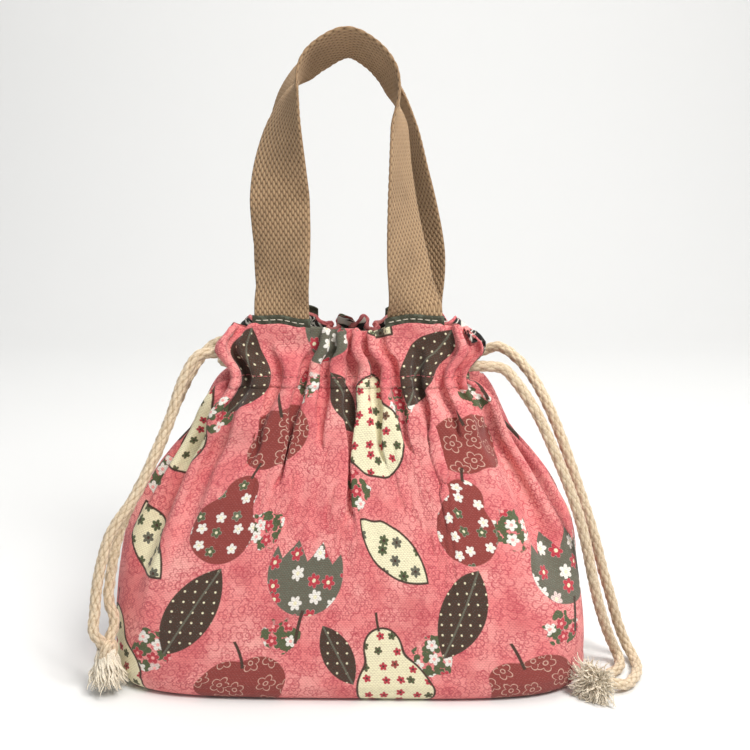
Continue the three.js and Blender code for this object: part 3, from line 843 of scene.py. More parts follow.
def tassel_object(name, middle, way, length, fan, seed):
    """Frayed cord end: crimped yarns and loose fibres that fan out from the knot by up to an angle."""
    chance = np.random.default_rng(seed)
    axis = unit(np.array(way, float))
    side = unit(np.cross(axis, [0.2, 0.9, 0.3]))
    upper = np.cross(axis, side)
    share = np.linspace(0, 1, 13)[:, None]
    points = []
    faces = []
    count = 0
    for index in range(FIBRES):
        turn = chance.uniform(0, 2 * math.pi)
        start = math.sqrt(chance.uniform(0, 1))
        reach = length * chance.uniform(0.72, 1.04)
        radial = math.cos(turn) * side + math.sin(turn) * upper
        lean = fan * start * share**0.5
        ahead = reach * share * np.cos(lean)
        out = TASSEL_ROOT * start + reach * share * np.sin(lean)
        crimp = share * chance.uniform(9, 16) + chance.uniform(0, 2 * math.pi)
        size = chance.uniform(0.0004, 0.0011)
        curl = size * share**0.5 * (side * np.sin(crimp) + upper * np.cos(crimp))
        path = np.array(middle) + axis * ahead + radial * out + curl
        path[:, 2] = np.maximum(path[:, 2], YARN_FLOOR)
        points.append(fibre(path, YARN_RADIUS if index < YARNS else HAIR_RADIUS))
        faces += tube_faces(len(path), FIBRE_SIDES, count)
        count += len(points[-1])
    return mesh_object(name, np.concatenate(points), faces, np.zeros((count, 2)))


# Handles

HANDLE_RISE = 0.1281  # from the bends up to the middle of the webbing in the arch
BEND_HEIGHT = 0.008  # height above the bends, which only an unused point in add_handles reads
WEBBING_COLUMNS = 100
WEBBING_STEP = 0.0005
TWIST_WINDOW = 27  # points over which the twist is evened out
FOOT_PINCH = 0.09  # how much narrower the webbing is where it is sewn in
GRAIN_PITCH = 0.0026
GRAIN_ROW = 0.0019
GRAIN_HALF = 0.36  # half of a grain's width as a share of the pitch
GRAIN_REACH = 1.02  # half of a grain's length as a share of the row
GRAIN_RELIEF = 0.0007
GRAIN_SINK = 0.0003  # how far the middle of the relief lies below the webbing's face

# Middle of each handle's webbing from its left bend to its right one: share of half the legs' spacing,
# share of the rise, twist in degrees
FRONT_STRAP = [
    (-1, 0, 180), (-1, 0.03, 176), (-0.99, 0.08, 163), (-0.97, 0.17, 154), (-0.985, 0.30, 166),
    (-1.0, 0.42, 172), (-0.994, 0.54, 154), (-0.94, 0.68, 132), (-0.84, 0.79, 112),
    (-0.77, 0.835, 102), (-0.64, 0.885, 79), (-0.44, 0.945, 69), (0, 1, 67), (0.348, 0.958, 67),
    (0.565, 0.895, 69), (0.665, 0.825, 77), (0.725, 0.77, 91), (0.752, 0.71, 104),
    (0.775, 0.545, 110), (0.815, 0.38, 119), (0.87, 0.24, 129), (0.925, 0.13, 138),
    (0.965, 0.06, 147), (0.985, 0.03, 158), (1, 0.008, 174), (1, 0, 180),
]
BACK_STRAP = [
    (-1.11, 0, 0), (-1.11, 0.035, 0), (-1.12, 0.07, 2), (-1.13, 0.19, 14), (-1.16, 0.385, 32),
    (-1.16, 0.555, 50), (-1.09, 0.72, 65), (-0.94, 0.855, 74), (-0.54, 0.968, 76), (0, 1.012, 76),
    (0.42, 0.965, 78), (0.735, 0.86, 88), (0.885, 0.70, 107), (0.965, 0.525, 122),
    (1.035, 0.345, 140), (1.07, 0.17, 162), (1.07, 0.07, 176), (1.06, 0.035, 180), (1.05, 0, 180),
]


def webbing_frames(strap, side):
    """Middle, width direction and face direction along a webbing; side is -1 in front and 1 behind."""
    given = [(x * LEG_X, 0.0, HINGE_HEIGHT + up * HANDLE_RISE) for x, up, _ in strap]
    sewn = [(strap[end][0] * LEG_X, 0.0, SEWN_BOTTOM) for end in (0, -1)]
    given = np.array([sewn[0], *given, sewn[1]])
    turns = np.radians([strap[0][2], *(turn for _, _, turn in strap), strap[-1][2]])
    line = even_path(given, WEBBING_STEP)
    along = lengths_along(line)
    nearest = [int(np.argmin(np.linalg.norm(line - point, axis=1))) for point in given]
    kernel = np.hanning(TWIST_WINDOW) / np.hanning(TWIST_WINDOW).sum()
    twist = np.interp(along, along[nearest], turns)
    twist = np.convolve(np.pad(twist, TWIST_WINDOW // 2, mode="edge"), kernel, mode="valid")
    tangent = unit(np.gradient(line, axis=0))
    inward = np.stack([tangent[:, 2], np.zeros(len(line)), -tangent[:, 0]], -1)
    across = inward * np.cos(twist)[:, None]
    across[:, 1] = -side * np.sin(twist)
    rise = (line[:, 2] - HINGE_HEIGHT) / HANDLE_RISE
    lean = ARCH_INSET * smooth(0.52, 0.95, rise)
    middle = line + np.stack([np.zeros(len(line)), side * (HINGE_Y - lean), np.zeros(len(line))], -1)
    return middle, across, np.cross(across, tangent)


def grain_height(across, along):
    """Height of the coarse weave: long grains in rows, each row half a grain to the side of the last."""
    height = 0.0
    for shift in (0.0, 0.5):
        side = across / GRAIN_PITCH + shift
        side = (side - np.floor(side) - 0.5) / GRAIN_HALF
        up = along / (2 * GRAIN_ROW) + shift
        up = 2 * (up - np.floor(up) - 0.5) / GRAIN_REACH
        height = np.maximum(height, np.sqrt(np.clip(1 - side**2 - up**2, 0, 1)))
    return height


def webbing_object(name, strap, side):
    """A handle's webbing: two grained faces that meet at the edges, closed at both ends."""
    middle, across, face = webbing_frames(strap, side)
    along = lengths_along(middle)
    width = np.linspace(-WEBBING_WIDTH / 2, WEBBING_WIDTH / 2, WEBBING_COLUMNS)
    drawn = 1 - FOOT_PINCH * (1 - smooth(HINGE_HEIGHT + 0.002, HINGE_HEIGHT + 0.030, middle[:, 2]))
    flat = middle[:, None] + across[:, None] * (drawn[:, None] * width[None, :])[..., None]
    edge = np.sqrt(np.clip(1 - (np.abs(width) / (WEBBING_WIDTH / 2)) ** 14, 0.06, 1))
    half = (WEBBING / 2 - GRAIN_SINK) * edge[None, :]
    rough = GRAIN_RELIEF * (grain_height(width[None, :], along[:, None]) - 0.5)
    lift = face[:, None] * (half + rough * edge)[..., None]
    loop = np.concatenate([flat + lift, (flat - lift)[:, ::-1]], axis=1)
    uv = np.stack(np.meshgrid(np.concatenate([width, width[::-1]]), along), -1)
    return mesh_object(name, loop.reshape(-1, 3), tube_faces(*loop.shape[:2]), uv.reshape(-1, 2))


# Stitching

STITCH_SIDES = 6
STITCH_RISE = np.array([-0.9, 0.4, 0.7, 0.4, -0.9])  # height along a stitch, as a share of its radius


def stitch_row(name, line, normal, pitch, length, radius):
    """Thread stitches laid along a line on the cloth, each a short rounded bar half sunk into it."""
    along = lengths_along(line)
    points = []
    faces = []
    count = 0
    for start in np.arange(pitch / 2, along[-1] - pitch, pitch):
        here = start + np.linspace(0, length, len(STITCH_RISE))
        out = at_lengths(normal, along, here)
        path = at_lengths(line, along, here) + out * radius * STITCH_RISE[:, None]
        points.append((path[:, None] + ring_along(path, STITCH_SIDES) * radius).reshape(-1, 3))
        faces += tube_faces(len(path), STITCH_SIDES, count)
        count += len(points[-1])
    return mesh_object(name, np.concatenate(points), faces, np.zeros((count, 2)))


# Materials


class Formula:
    """A number that a material's nodes work out, written as ordinary arithmetic."""

    def __init__(self, tree, socket):
        self.tree = tree
        self.socket = socket

    def math(self, operation, *others):
        node = self.tree.nodes.new("ShaderNodeMath")
        node.operation = operation
        for pin, value in zip(node.inputs, (self, *others)):
            if isinstance(value, Formula):
                self.tree.links.new(value.socket, pin)
            else:
                pin.default_value = value
        return Formula(self.tree, node.outputs[0])

    def __add__(self, other):
        return self.math("ADD", other)

    def __sub__(self, other):
        return self.math("SUBTRACT", other)

    def __mul__(self, other):
        return self.math("MULTIPLY", other)

    def __truediv__(self, other):
        return self.math("DIVIDE", other)

    def absolute(self):
        return self.math("ABSOLUTE")

    def below(self, limit, softness):
        """1 where this is under the limit, 0 above it, with an edge of the given softness."""
        node = self.tree.nodes.new("ShaderNodeMapRange")
        node.clamp = True
        self.tree.links.new(self.socket, node.inputs["Value"])
        node.inputs["From Min"].default_value = limit - softness
        node.inputs["From Max"].default_value = limit + softness
        node.inputs["To Min"].default_value = 1.0
        node.inputs["To Max"].default_value = 0.0
        return Formula(self.tree, node.outputs["Result"])


def distance(x, y):
    return (x * x + y * y).math("SQRT")


class Surface:
    """A node material under construction: its shader, its cloth coordinates and the colour so far."""

    def __init__(self, name, roughness, sheen):
        self.material = bpy.data.materials.new(name)
        self.material.use_nodes = True
        self.tree = self.material.node_tree
        self.shader = self.tree.nodes["Principled BSDF"]
        self.shader.inputs["Roughness"].default_value = roughness
        self.shader.inputs["Specular IOR Level"].default_value = 0.25
        self.shader.inputs["Sheen Weight"].default_value = sheen
        self.shader.inputs["Sheen Roughness"].default_value = 0.6
        self.place = self.tree.nodes.new("ShaderNodeUVMap")
        self.place.uv_map = "cloth"
        parts = self.tree.nodes.new("ShaderNodeSeparateXYZ")
        self.tree.links.new(self.place.outputs["UV"], parts.inputs[0])
        self.u = Formula(self.tree, parts.outputs["X"])
        self.v = Formula(self.tree, parts.outputs["Y"])
        self.colour = None

    def object_place(self):
        return self.tree.nodes.new("ShaderNodeTexCoord").outputs["Object"]

    def noise(self, scale, detail=2.0, where=None):
        node = self.tree.nodes.new("ShaderNodeTexNoise")
        node.inputs["Scale"].default_value = scale
        node.inputs["Detail"].default_value = detail
        self.tree.links.new(where or self.place.outputs["UV"], node.inputs["Vector"])
        return Formula(self.tree, node.outputs["Fac"])

    def paint(self, colour, mask):
        """Lays a colour over what is there, where the mask is 1."""
        mix = self.tree.nodes.new("ShaderNodeMix")
        mix.data_type = "RGBA"
        mix.inputs[6].default_value = (*self.colour, 1) if isinstance(self.colour, tuple) else (0, 0, 0, 1)
        if not isinstance(self.colour, tuple):
            self.tree.links.new(self.colour, mix.inputs[6])
        mix.inputs[7].default_value = (*colour, 1)
        self.tree.links.new(mask.socket, mix.inputs[0])
        self.colour = mix.outputs[2]

    def bump(self, height, strength, depth):
        node = self.tree.nodes.new("ShaderNodeBump")
        node.inputs["Strength"].default_value = strength
        node.inputs["Distance"].default_value = depth
        self.tree.links.new(height.socket, node.inputs["Height"])
        self.tree.links.new(node.outputs["Normal"], self.shader.inputs["Normal"])

    def done(self):
        self.tree.links.new(self.colour, self.shader.inputs["Base Color"])
        return self.material


# Printed canvas: fruit and leaves on a mottled ground, repeated in a tile
TILE_WIDTH = 0.148
TILE_HEIGHT = 0.126
EDGE = 0.00022
OUTLINE = 0.00055
WEAVE_ROW = 0.0009
WEAVE_BAR = 0.0017


def motif_place(surface, x, y, turn):
    """Coordinates about the middle of a motif of the tile, turned by an angle."""
    u = (surface.u - x).math("WRAP", TILE_WIDTH / 2, -TILE_WIDTH / 2)
    v = (surface.v - y).math("WRAP", TILE_HEIGHT / 2, -TILE_HEIGHT / 2)
    cos = math.cos(turn)
    sin = math.sin(turn)
    return u * cos + v * sin, v * cos - u * sin


def fill(surface, shape, colour):
    """Paints the inside of a shape, and gives where it is."""
    inside = shape.below(0.0, EDGE)
    surface.paint(colour, inside)
    return inside


def pear(x, y, size):
    """Signed distance to the outline of a pear, below 0 inside it, as for the shapes that follow."""
    body = distance(x, y + 0.22 * size) - 0.40 * size
    top = distance(x, y - 0.26 * size) - 0.21 * size
    return body.math("SMOOTH_MIN", top, 0.22 * size)


def apple(x, y, size):
    left = distance(x - 0.17 * size, y) - 0.33 * size
    right = distance(x + 0.17 * size, y) - 0.33 * size
    return left.math("SMOOTH_MIN", right, 0.10 * size)


def leaf(x, y, size):
    left = distance(x - 0.42 * size, y)
    right = distance(x + 0.42 * size, y)
    return left.math("MAXIMUM", right) - 0.66 * size


def tulip(x, y, size):
    cup = distance(x, y) - 0.44 * size
    teeth = (x / (0.30 * size)).math("PINGPONG", 0.5) * (0.42 * size)
    return cup.math("MAXIMUM", y - 0.10 * size - teeth)


def stalk(x, y, low, high, width, bend):
    """A short bent line from low to high."""
    off = (x - (y - low) * (y - low) * bend).absolute() - width
    return off.math("MAXIMUM", y - high).math("MAXIMUM", (y * -1.0) + low)


def blossoms(surface, scale, radius, petals):
    """Small flowers over the cloth: signed distance to the petals, distance to the heart, chance."""
    cells = surface.tree.nodes.new("ShaderNodeTexVoronoi")
    cells.voronoi_dimensions = "2D"
    cells.inputs["Scale"].default_value = scale
    cells.inputs["Randomness"].default_value = 0.62
    surface.tree.links.new(surface.place.outputs["UV"], cells.inputs["Vector"])
    shift = surface.tree.nodes.new("ShaderNodeVectorMath")
    shift.operation = "SUBTRACT"
    surface.tree.links.new(surface.place.outputs["UV"], shift.inputs[0])
    surface.tree.links.new(cells.outputs["Position"], shift.inputs[1])
    parts = surface.tree.nodes.new("ShaderNodeSeparateXYZ")
    surface.tree.links.new(shift.outputs[0], parts.inputs[0])
    x = Formula(surface.tree, parts.outputs["X"])
    y = Formula(surface.tree, parts.outputs["Y"])
    tint = surface.tree.nodes.new("ShaderNodeSeparateColor")
    surface.tree.links.new(cells.outputs["Color"], tint.inputs[0])
    pick = Formula(surface.tree, tint.outputs[0])
    heart = distance(x, y)
    turn = y.math("ARCTAN2", x) + pick * 6.0
    rim = (turn * (petals / 2)).math("COSINE").absolute() * (0.45 * radius) + 0.62 * radius
    return heart - rim, heart, pick


def scatter(surface, inside, scale, radius, petals, colours, heart_colour):
    """Flowers of two colours with a heart, kept within a motif."""
    edge, heart, pick = blossoms(surface, scale, radius, petals)
    flower = edge.below(0.0, EDGE) * inside
    surface.paint(colours[0], flower)
    surface.paint(colours[1], flower * pick.below(0.45, 0.01))
    surface.paint(heart_colour, heart.below(0.28 * radius, EDGE) * inside)


def line_flowers(surface, inside, scale, radius, colour):
    edge, heart, _ = blossoms(surface, scale, radius, 5)
    surface.paint(colour, edge.absolute().below(0.00022, EDGE) * inside)
    surface.paint(colour, (heart - 0.25 * radius).absolute().below(0.0002, EDGE) * inside)


def dots(surface, inside, spacing, radius, colour):
    x = surface.u.math("WRAP", spacing / 2, -spacing / 2)
    y = surface.v.math("WRAP", spacing / 2, -spacing / 2)
    surface.paint(colour, distance(x, y).below(radius, EDGE) * inside)


def mottled_ground(surface):
    """Pink ground with soft light and dark clouds and a faint drawing of small flowers in thin lines."""
    surface.colour = PINK
    surface.paint(PINK_LIGHT, (surface.noise(46.0, 3.0) - 0.40) * 3.0)
    clouds = surface.noise(30.0, 4.0)
    surface.paint(PINK_DARK, (clouds * -1.0 + 0.49) * 3.6)
    lines = (surface.noise(120.0, 2.0) - 0.5).absolute().below(0.012, 0.012)
    surface.paint(PINK_LINE, lines * 0.55)
    for scale, radius, petals in ((62.0, 0.0056, 5), (101.0, 0.0034, 6)):
        edge, heart, _ = blossoms(surface, scale, radius, petals)
        surface.paint(PINK_LINE, edge.absolute().below(0.00032, 0.00028) * 0.75)
        surface.paint(PINK_LINE, (heart - 0.3 * radius).absolute().below(0.00028, 0.00025) * 0.7)


def draw_pear(surface, x, y, turn, size, colour, flowers, outlined):
    """A pear filled with small flowers: scale and size of the flowers, their petals and colours."""
    u, v = motif_place(surface, x, y, turn)
    shape = pear(u, v, size)
    inside = fill(surface, shape, colour)
    scatter(surface, inside, *flowers)
    if outlined:
        surface.paint(OLIVE_BLACK, shape.absolute().below(OUTLINE, EDGE))
    fill(surface, stalk(u, v, 0.44 * size, 0.64 * size, 0.0007, 9.0), OLIVE_BLACK)


def draw_leaf(surface, x, y, turn, size, colour, flowers):
    u, v = motif_place(surface, x, y, turn)
    shape = leaf(u, v, size)
    inside = fill(surface, shape, colour)
    if flowers:
        scatter(surface, inside, *flowers)
        surface.paint(OLIVE_BLACK, shape.absolute().below(OUTLINE, EDGE))
    else:
        dots(surface, inside, 0.0052, 0.00055, CREAM)
        surface.paint(GREY_GREEN, u.absolute().below(0.0005, EDGE) * inside)


def draw_apple(surface, x, y, turn, size):
    u, v = motif_place(surface, x, y, turn)
    inside = fill(surface, apple(u, v, size), BRICK)
    line_flowers(surface, inside, 88.0, 0.0044, BRICK_LINE)
    fill(surface, stalk(u, v, 0.22 * size, 0.54 * size, 0.0008, -14.0), OLIVE_BLACK)


def draw_tulip(surface, x, y, turn, size):
    u, v = motif_place(surface, x, y, turn)
    inside = fill(surface, tulip(u, v, size), GREY_GREEN)
    scatter(surface, inside, 92.0, 0.0036, 6, (WHITE, FLOWER_RED), CREAM)
    fill(surface, stalk(u, v, -0.72 * size, -0.38 * size, 0.0009, 6.0), OLIVE_BLACK)


def draw_posy(surface, x, y, radius):
    """A small bunch of flowers and leaves without a ground of its own."""
    u, v = motif_place(surface, x, y, 0.0)
    inside = (distance(u, v) + surface.noise(140.0, 1.0) * 0.012).below(radius + 0.006, EDGE)
    edge, _, _ = blossoms(surface, 150.0, 0.0036, 4)
    surface.paint(LEAF_GREEN, edge.below(0.0, EDGE) * inside)
    scatter(surface, inside, 118.0, 0.0030, 5, (WHITE, FLOWER_RED), PINK_LIGHT)


def draw_fruit(surface):
    """The motifs of one tile, the larger ones about 45 mm tall."""
    small_red = (128.0, 0.0021, 5, (FLOWER_RED, LEAF_GREEN), OLIVE_BLACK)
    small_green = (104.0, 0.0028, 6, (LEAF_GREEN, GREY_GREEN), OLIVE_BLACK)
    pale = (112.0, 0.0026, 5, (WHITE, LEAF_GREEN), CREAM)
    posies = ((0.046, 0.030, 0.010), (0.112, 0.040, 0.009), (0.098, 0.094, 0.010), (0.010, 0.112, 0.009))
    for x, y, radius in posies:
        draw_posy(surface, x, y, radius)
    draw_leaf(surface, 0.064, 0.052, -0.5, 0.050, OLIVE_BLACK, None)
    draw_leaf(surface, 0.143, 0.030, 0.5, 0.034, OLIVE_BLACK, None)
    draw_pear(surface, 0.022, 0.022, 0.22, 0.048, CREAM, small_red, True)
    draw_apple(surface, 0.094, 0.014, 0.15, 0.045)
    draw_tulip(surface, 0.124, 0.072, -0.12, 0.050)
    draw_leaf(surface, 0.028, 0.082, 0.9, 0.046, CREAM, small_green)
    draw_pear(surface, 0.076, 0.102, -0.3, 0.042, BRICK, pale, False)


def weave_height(surface):
    """Coarse weave: short bars of thread in rows, each row half a bar further on, with slubs."""
    row = (surface.v / WEAVE_ROW).math("FLOOR")
    up = surface.v / WEAVE_ROW - row - 0.5
    shifted = surface.u / WEAVE_BAR + row.math("FLOORED_MODULO", 2.0) * 0.5
    side = shifted - shifted.math("FLOOR") - 0.5
    bars = (side * side * -3.2) - (up * up * 3.2) + 1.0
    return bars * 0.8 + surface.noise(520.0, 2.0) * 0.9


def canvas_material():
    """Coarse canvas with the print of fruit, with painted shade between its threads and a painted highlight
    on their crowns.
    """
    surface = Surface("printed_canvas", 0.92, 0.12)
    mottled_ground(surface)
    draw_fruit(surface)
    height = weave_height(surface)
    # painted shade in the gaps between the threads
    surface.paint(CANVAS_GAP_SHADE, height.below(0.62, 0.40) * 0.34)
    # painted highlight on the crowns of the threads
    surface.paint(CANVAS_CROWN_HIGHLIGHT, (height - 1.05) * 0.22)
    surface.bump(height, 0.6, 0.00030)
    return surface.done()


def lining_material():
    """Pale lining with large black leaves and flowers."""
    surface = Surface("lining_cloth", 0.9, 0.1)
    surface.colour = LINING_PALE
    surface.paint(LINING_BLACK, surface.noise(95.0, 2.0).below(0.53, 0.012))
    edge, heart, _ = blossoms(surface, 130.0, 0.0030, 4)
    surface.paint(LINING_LINE, edge.absolute().below(0.0004, EDGE))
    surface.paint(LINING_RED, heart.below(0.0007, EDGE))
    height = weave_height(surface)
    surface.bump(height, 0.3, 0.00012)
    return surface.done()


def binding_material():
    """Dark olive cloth for the strips at the straps' feet."""
    surface = Surface("dark_binding", 0.92, 0.1)
    surface.colour = BINDING_OLIVE
    surface.paint(GREY_GREEN, surface.noise(260.0, 2.0).below(0.46, 0.05) * 0.6)
    surface.bump(weave_height(surface), 0.5, 0.00025)
    return surface.done()


def webbing_material():
    """Khaki webbing: every grain with a painted highlight on its crown and painted shade in the gaps round
    it.
    """
    surface = Surface("handle_webbing", 0.88, 0.10)
    grains = []
    for shift in (0.0, 0.5):
        side = ((surface.u / GRAIN_PITCH + shift).math("FRACT") - 0.5) / GRAIN_HALF
        up = ((surface.v / (2 * GRAIN_ROW) + shift).math("FRACT") - 0.5) * (2 / GRAIN_REACH)
        grains.append(side * side * -1.0 - up * up + 1.0)
    grain = grains[0].math("MAXIMUM", grains[1])
    surface.colour = KHAKI
    # painted shade in the gaps between the grains
    surface.paint(KHAKI_SHADE_AND_WEAR, grain.below(0.22, 0.30) * 0.92)
    # painted highlight on the crowns of the grains
    surface.paint(KHAKI_HIGHLIGHT, (grain - 0.45) * 1.1 * surface.noise(420.0, 2.0))
    wear = surface.noise(60.0, 3.0)
    surface.paint(KHAKI_SHADE_AND_WEAR, wear.below(0.42, 0.12) * 0.22)
    surface.bump(surface.noise(1500.0, 2.0) * 0.5 + grain.math("MAXIMUM", 0.0), 0.6, 0.0004)
    return surface.done()


def cord_material():
    """Undyed cotton: pale on the plaits, with painted shade in the grooves between them."""
    surface = Surface("cotton_cord", 0.9, 0.2)
    where = surface.object_place()
    first = surface.u * PLAITS + surface.v / PLAIT_PITCH
    second = surface.u * PLAITS - surface.v / PLAIT_PITCH
    under = (first.math("FLOOR") + second.math("FLOOR")).math("FLOORED_MODULO", 2.0)
    across_first = (first.math("FRACT") * math.pi).math("SINE")
    across_second = (second.math("FRACT") * math.pi).math("SINE")
    crown = across_first + (across_second - across_first) * under
    length = across_second + (across_first - across_second) * under
    height = crown.math("SQRT") * (length * 0.55 + 0.45)
    surface.colour = COTTON
    # painted shade in the grooves between the plaits
    surface.paint(COTTON_SHADE_AND_MOTTLE, height.below(0.42, 0.26) * 0.85)
    surface.paint(COTTON_SHADE_AND_MOTTLE, surface.noise(420.0, 3.0, where).below(0.46, 0.12) * 0.35)
    surface.paint(COTTON_PALE, (surface.noise(900.0, 2.0, where) - 0.5) * 2.2)
    surface.bump(surface.noise(2600.0, 2.0, where), 0.5, 0.0003)
    return surface.done()


def thread_material(name, colour):
    """Cotton thread, a little darker in places."""
    surface = Surface(name, 0.7, 0.1)
    where = surface.object_place()
    surface.colour = colour
    darker = tuple(0.6 * part for part in colour)
    surface.paint(darker, surface.noise(1800.0, 2.0, where).below(0.45, 0.1) * 0.6)
    surface.bump(surface.noise(3000.0, 1.0, where), 0.4, 0.0002)
    return surface.done()


# Stage

FLOOR_HALF = 3.0
CURVE_START = 0.9
CURVE_RADIUS = 0.5
WALL_TOP = 3.0
FLOOR_COLOUR = (0.79, 0.79, 0.78, 1)
SKY_COLOUR = (0.95, 0.96, 0.98, 1)
SKY_STRENGTH = 0.28


def add_camera():
    lens = bpy.data.cameras.new("camera")
    lens.sensor_width = 36.0
    lens.lens = lens.sensor_width * FOCAL_PIXELS / IMAGE_SIZE
    lens.clip_start = 0.01
    camera = bpy.data.objects.new("camera", lens)
    camera.location = CAMERA_PLACE
    camera.rotation_euler = (math.pi / 2 - CAMERA_PITCH, 0, CAMERA_YAW)
    bpy.context.scene.collection.objects.link(camera)
    bpy.context.scene.camera = camera


def add_lamp(name, place, target, size, power, colour=(1, 1, 1)):
    lamp = bpy.data.lights.new(name, "AREA")
    lamp.shape = "DISK"
    lamp.size = size
    lamp.energy = power
    lamp.color = colour
    holder = bpy.data.objects.new(name, lamp)
    holder.location = place
    way = np.array(target) - np.array(place)
    tilt = math.atan2(math.hypot(way[0], way[1]), -way[2])
    heading = math.atan2(way[1], way[0]) - math.pi / 2
    holder.rotation_euler = (tilt, 0, heading)
    bpy.context.scene.collection.objects.link(holder)


def sweep_points():
    """A floor that curves up into a wall behind the bag."""
    side_view = [(-FLOOR_HALF, 0.0)]
    for angle in np.linspace(0, math.pi / 2, 13):
        rise = CURVE_RADIUS - CURVE_RADIUS * math.cos(angle)
        side_view.append((CURVE_START + CURVE_RADIUS * math.sin(angle), rise))
    side_view.append((CURVE_START + CURVE_RADIUS, WALL_TOP))
    return [(x, y, z) for y, z in side_view for x in (-FLOOR_HALF, FLOOR_HALF)]


def add_stage():
    points = sweep_points()
    floor = mesh_object("floor", points, grid_faces(len(points) // 2, 2))
    paper = bpy.data.materials.new("pale_floor")
    paper.use_nodes = True
    shader = paper.node_tree.nodes["Principled BSDF"]
    shader.inputs["Base Color"].default_value = FLOOR_COLOUR
    shader.inputs["Roughness"].default_value = 0.9
    floor.data.materials.append(paper)
    world = bpy.data.worlds.new("studio")
    world.use_nodes = True
    sky = world.node_tree.nodes["Background"]
    sky.inputs["Color"].default_value = SKY_COLOUR
    sky.inputs["Strength"].default_value = SKY_STRENGTH
    bpy.context.scene.world = world
    add_lamp("key", (0.58, -0.70, 1.28), (0, 0, 0.1), 0.60, 22, (1.0, 0.985, 0.96))
    add_lamp("fill", (-1.0, -0.9, 0.7), (0, 0, 0.12), 1.2, 0.5)
    add_lamp("wall_light", (0.0, 0.2, 1.7), (0, 1.3, 0.5), 1.2, 17)
    bpy.context.scene.view_settings.view_transform = "Standard"


# Putting the pieces together


def finish_piece(piece, material, slot, body, *nodes):
    """Gives a piece its material, the body that it rides on and the solids that it replaces; slot is not
    used.
    """
    piece.data.materials.append(material)
    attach(piece, body)
    if nodes:
        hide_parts(*nodes)


def add_drawstring(name, end, routes, knot, tassel_form, material, yarn):
    """One cord: its knot, its frayed end, two free strands and the run that stays in the casings."""
    body = f"{name}_drawstring"
    low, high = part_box(f"{name}_cord_hidden_run")
    node_height = (low.z + high.z) / 2
    knot_piece = knot_object(f"{name}_knot_cord", knot)
    finish_piece(knot_piece, material, "cotton_cord", body, f"{name}_knot")
    tassel = tassel_object(f"{name}_tassel_fibres", knot, *tassel_form)
    finish_piece(tassel, yarn, "cotton_cord", body, f"{name}_tassel")
    for side_name, side, route in (("front", -1, routes[0]), ("back", 1, routes[1])):
        path = strand_path(end, side, node_height, route, knot)
        strand = cord_object(f"{name}_{side_name}_braid", path, CORD_RADIUS)
        finish_piece(strand, material, "cotton_cord", body, f"{name}_cord_{side_name}_strand")
        side * CASING_Y
        [knot_piece, tassel] if side < 0 else []
    run = cord_object(f"{name}_casing_run", hidden_path(end, node_height), CORD_RADIUS)
    finish_piece(run, material, "cotton_cord", "bag", f"{name}_cord_hidden_run")


def add_cords():
    material = cord_material()
    yarn = thread_material("frayed_cotton", YARN)
    left = (LEFT_FRONT_ROUTE, LEFT_BACK_ROUTE)
    right = (RIGHT_FRONT_ROUTE, RIGHT_BACK_ROUTE)
    add_drawstring("left", -1, left, LEFT_KNOT, LEFT_TASSEL, material, yarn)
    add_drawstring("right", 1, right, RIGHT_KNOT, RIGHT_TASSEL, material, yarn)


def cut_area(uv):
    """Area of the flat cut, which tapers."""
    across = uv[1:, 1:] - uv[:-1, :-1]
    over = uv[1:, :-1] - uv[:-1, 1:]
    return float(np.abs(across[..., 0] * over[..., 1] - across[..., 1] * over[..., 0]).sum() / 2)


def add_sheet(name, grid, uv, cloth, nodes):
    """A loose sheet of the bag; cloth is its thickness, its material and its slot."""
    thickness, material, slot = cloth
    piece = sheet_object(name, grid, uv, thickness)
    finish_piece(piece, material, slot, "bag", *nodes)
    cut_area(uv)


def add_panel(name, folds, seed, sag, materials):
    """The cloths of one half of the bag, drawn as the front one and turned round for the back."""
    wall, wall_uv, cloth, cloth_uv, at_strap = settled_panel(folds, seed, sag)
    outer = cloth[LAP_ROWS:]
    hem, hem_uv = hem_grid(lapped(cloth), cloth_uv)
    facing, facing_uv = facing_grid(outer, cloth_uv[LAP_ROWS:])
    inner = lining_grid()
    inner_uv = wall_uv[::2, ::2]
    if name == "back":
        wall, outer, hem, facing, inner = (turned_round(grid) for grid in (wall, outer, hem, facing, inner))
        wall_uv = wall_uv + BACK_PRINT
        hem_uv = hem_uv + BACK_PRINT
    printed = (CANVAS, materials["canvas"], "printed_canvas")
    lining = (LINING, materials["lining"], "lining_cloth")
    add_sheet(f"{name}_canvas", wall, wall_uv, printed, [f"outer_{name}_panel"])
    add_sheet(f"{name}_gathered_hem", hem, hem_uv, printed, [f"{name}_casing"])
    add_sheet(f"{name}_hem_facing", facing, facing_uv, lining, [])
    add_sheet(f"{name}_lining_cloth", inner, inner_uv, lining, [f"lining_{name}_panel"])
    add_seams(name, outer, at_strap, 1 if name == "back" else -1, materials)


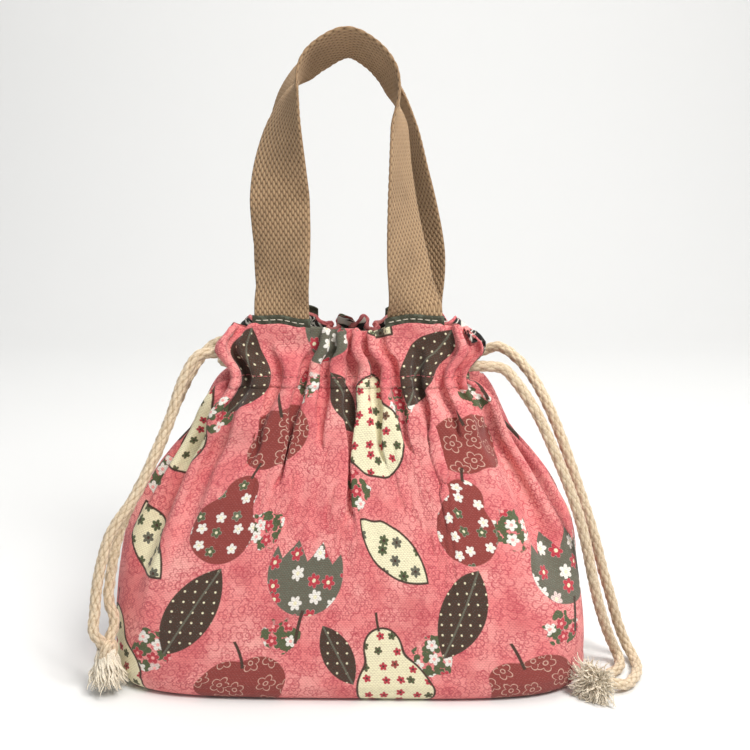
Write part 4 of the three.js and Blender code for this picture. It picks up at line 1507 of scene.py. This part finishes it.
def add_binding(name, label, rim, side, cloth, thread):
    """A dark strip sewn along the rim over a handle's foot, with a row of stitches along it."""
    middle = np.stack([rim[:, 0], np.full(len(rim), side * BINDING_Y), rim[:, 2]], -1)
    rows = []
    for up in BINDING_ROWS:
        bow = BINDING_BOW * math.sin(math.pi * np.clip(up, 0, 1))
        rows.append(middle + np.array([0, side * bow, up * BINDING_RISE]))
    grid = np.array(rows)
    uv = np.stack(np.meshgrid(lengths_along(rim), BINDING_ROWS * BINDING_RISE), -1)
    strip = sheet_object(f"{name}_{label}_binding", grid, uv, CANVAS)
    finish_piece(strip, cloth, "printed_canvas", "bag")
    out = np.tile([0.0, float(side), 0.0], (len(rim), 1))
    seam = stitch_row(f"{name}_{label}_binding_stitches", grid[BINDING_SEAM_ROW], out, *BINDING_STITCH)
    finish_piece(seam, thread, "cotton_cord", "bag")


def add_seams(name, casing, at_strap, side, materials):
    """Topstitching above the casing's lower edge, and the bindings where the handles are sewn in."""
    along = np.gradient(casing, axis=1)
    up = np.gradient(casing, axis=0)
    normal = unit(np.cross(along, up))
    seam = stitch_row(f"{name}_lower_stitches", casing[SEAM_ROW], normal[SEAM_ROW], *SEAM_STITCH)
    finish_piece(seam, materials["pink_thread"], "cotton_cord", "bag")
    for label, half in (("left", casing[-1, :, 0] < 0), ("right", casing[-1, :, 0] > 0)):
        rim = casing[-1, half & (at_strap > 0.5)]
        add_binding(name, label, rim, side, materials["binding"], materials["pale_thread"])


def add_bag():
    canvas = canvas_material()
    lining = lining_material()
    materials = {
        "canvas": canvas,
        "lining": lining,
        "binding": binding_material(),
        "pale_thread": thread_material("pale_thread", PALE_THREAD),
        "pink_thread": thread_material("pink_thread", PINK_THREAD),
    }
    add_panel("front", FRONT_FOLDS, 3, FRONT_SAG, materials)
    add_panel("back", back_folds(), 5, BACK_SAG, materials)
    bottom = base_disc("base_canvas", *BASE_CANVAS)
    finish_piece(bottom, canvas, "printed_canvas", "bag", "outer_base_panel")
    inside = base_disc("base_lining_cloth", *BASE_LINING)
    finish_piece(inside, lining, "lining_cloth", "bag", "lining_base_panel")


def add_handles():
    material = webbing_material()
    for name, side, line in (("front", -1, FRONT_STRAP), ("back", 1, BACK_STRAP)):
        strap = webbing_object(f"{name}_webbing", line, side)
        nodes = [f"{name}_handle_loop", f"{name}_left_handle_end", f"{name}_right_handle_end"]
        strap.data.materials.append(material)
        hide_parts(*nodes)
        lower = (0, side * HINGE_Y, RIM_HEIGHT)
        upper = (0, side * HINGE_Y, HINGE_HEIGHT + BEND_HEIGHT)
        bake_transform(strap)


add_camera()
add_cords()
add_bag()
add_handles()
add_stage()
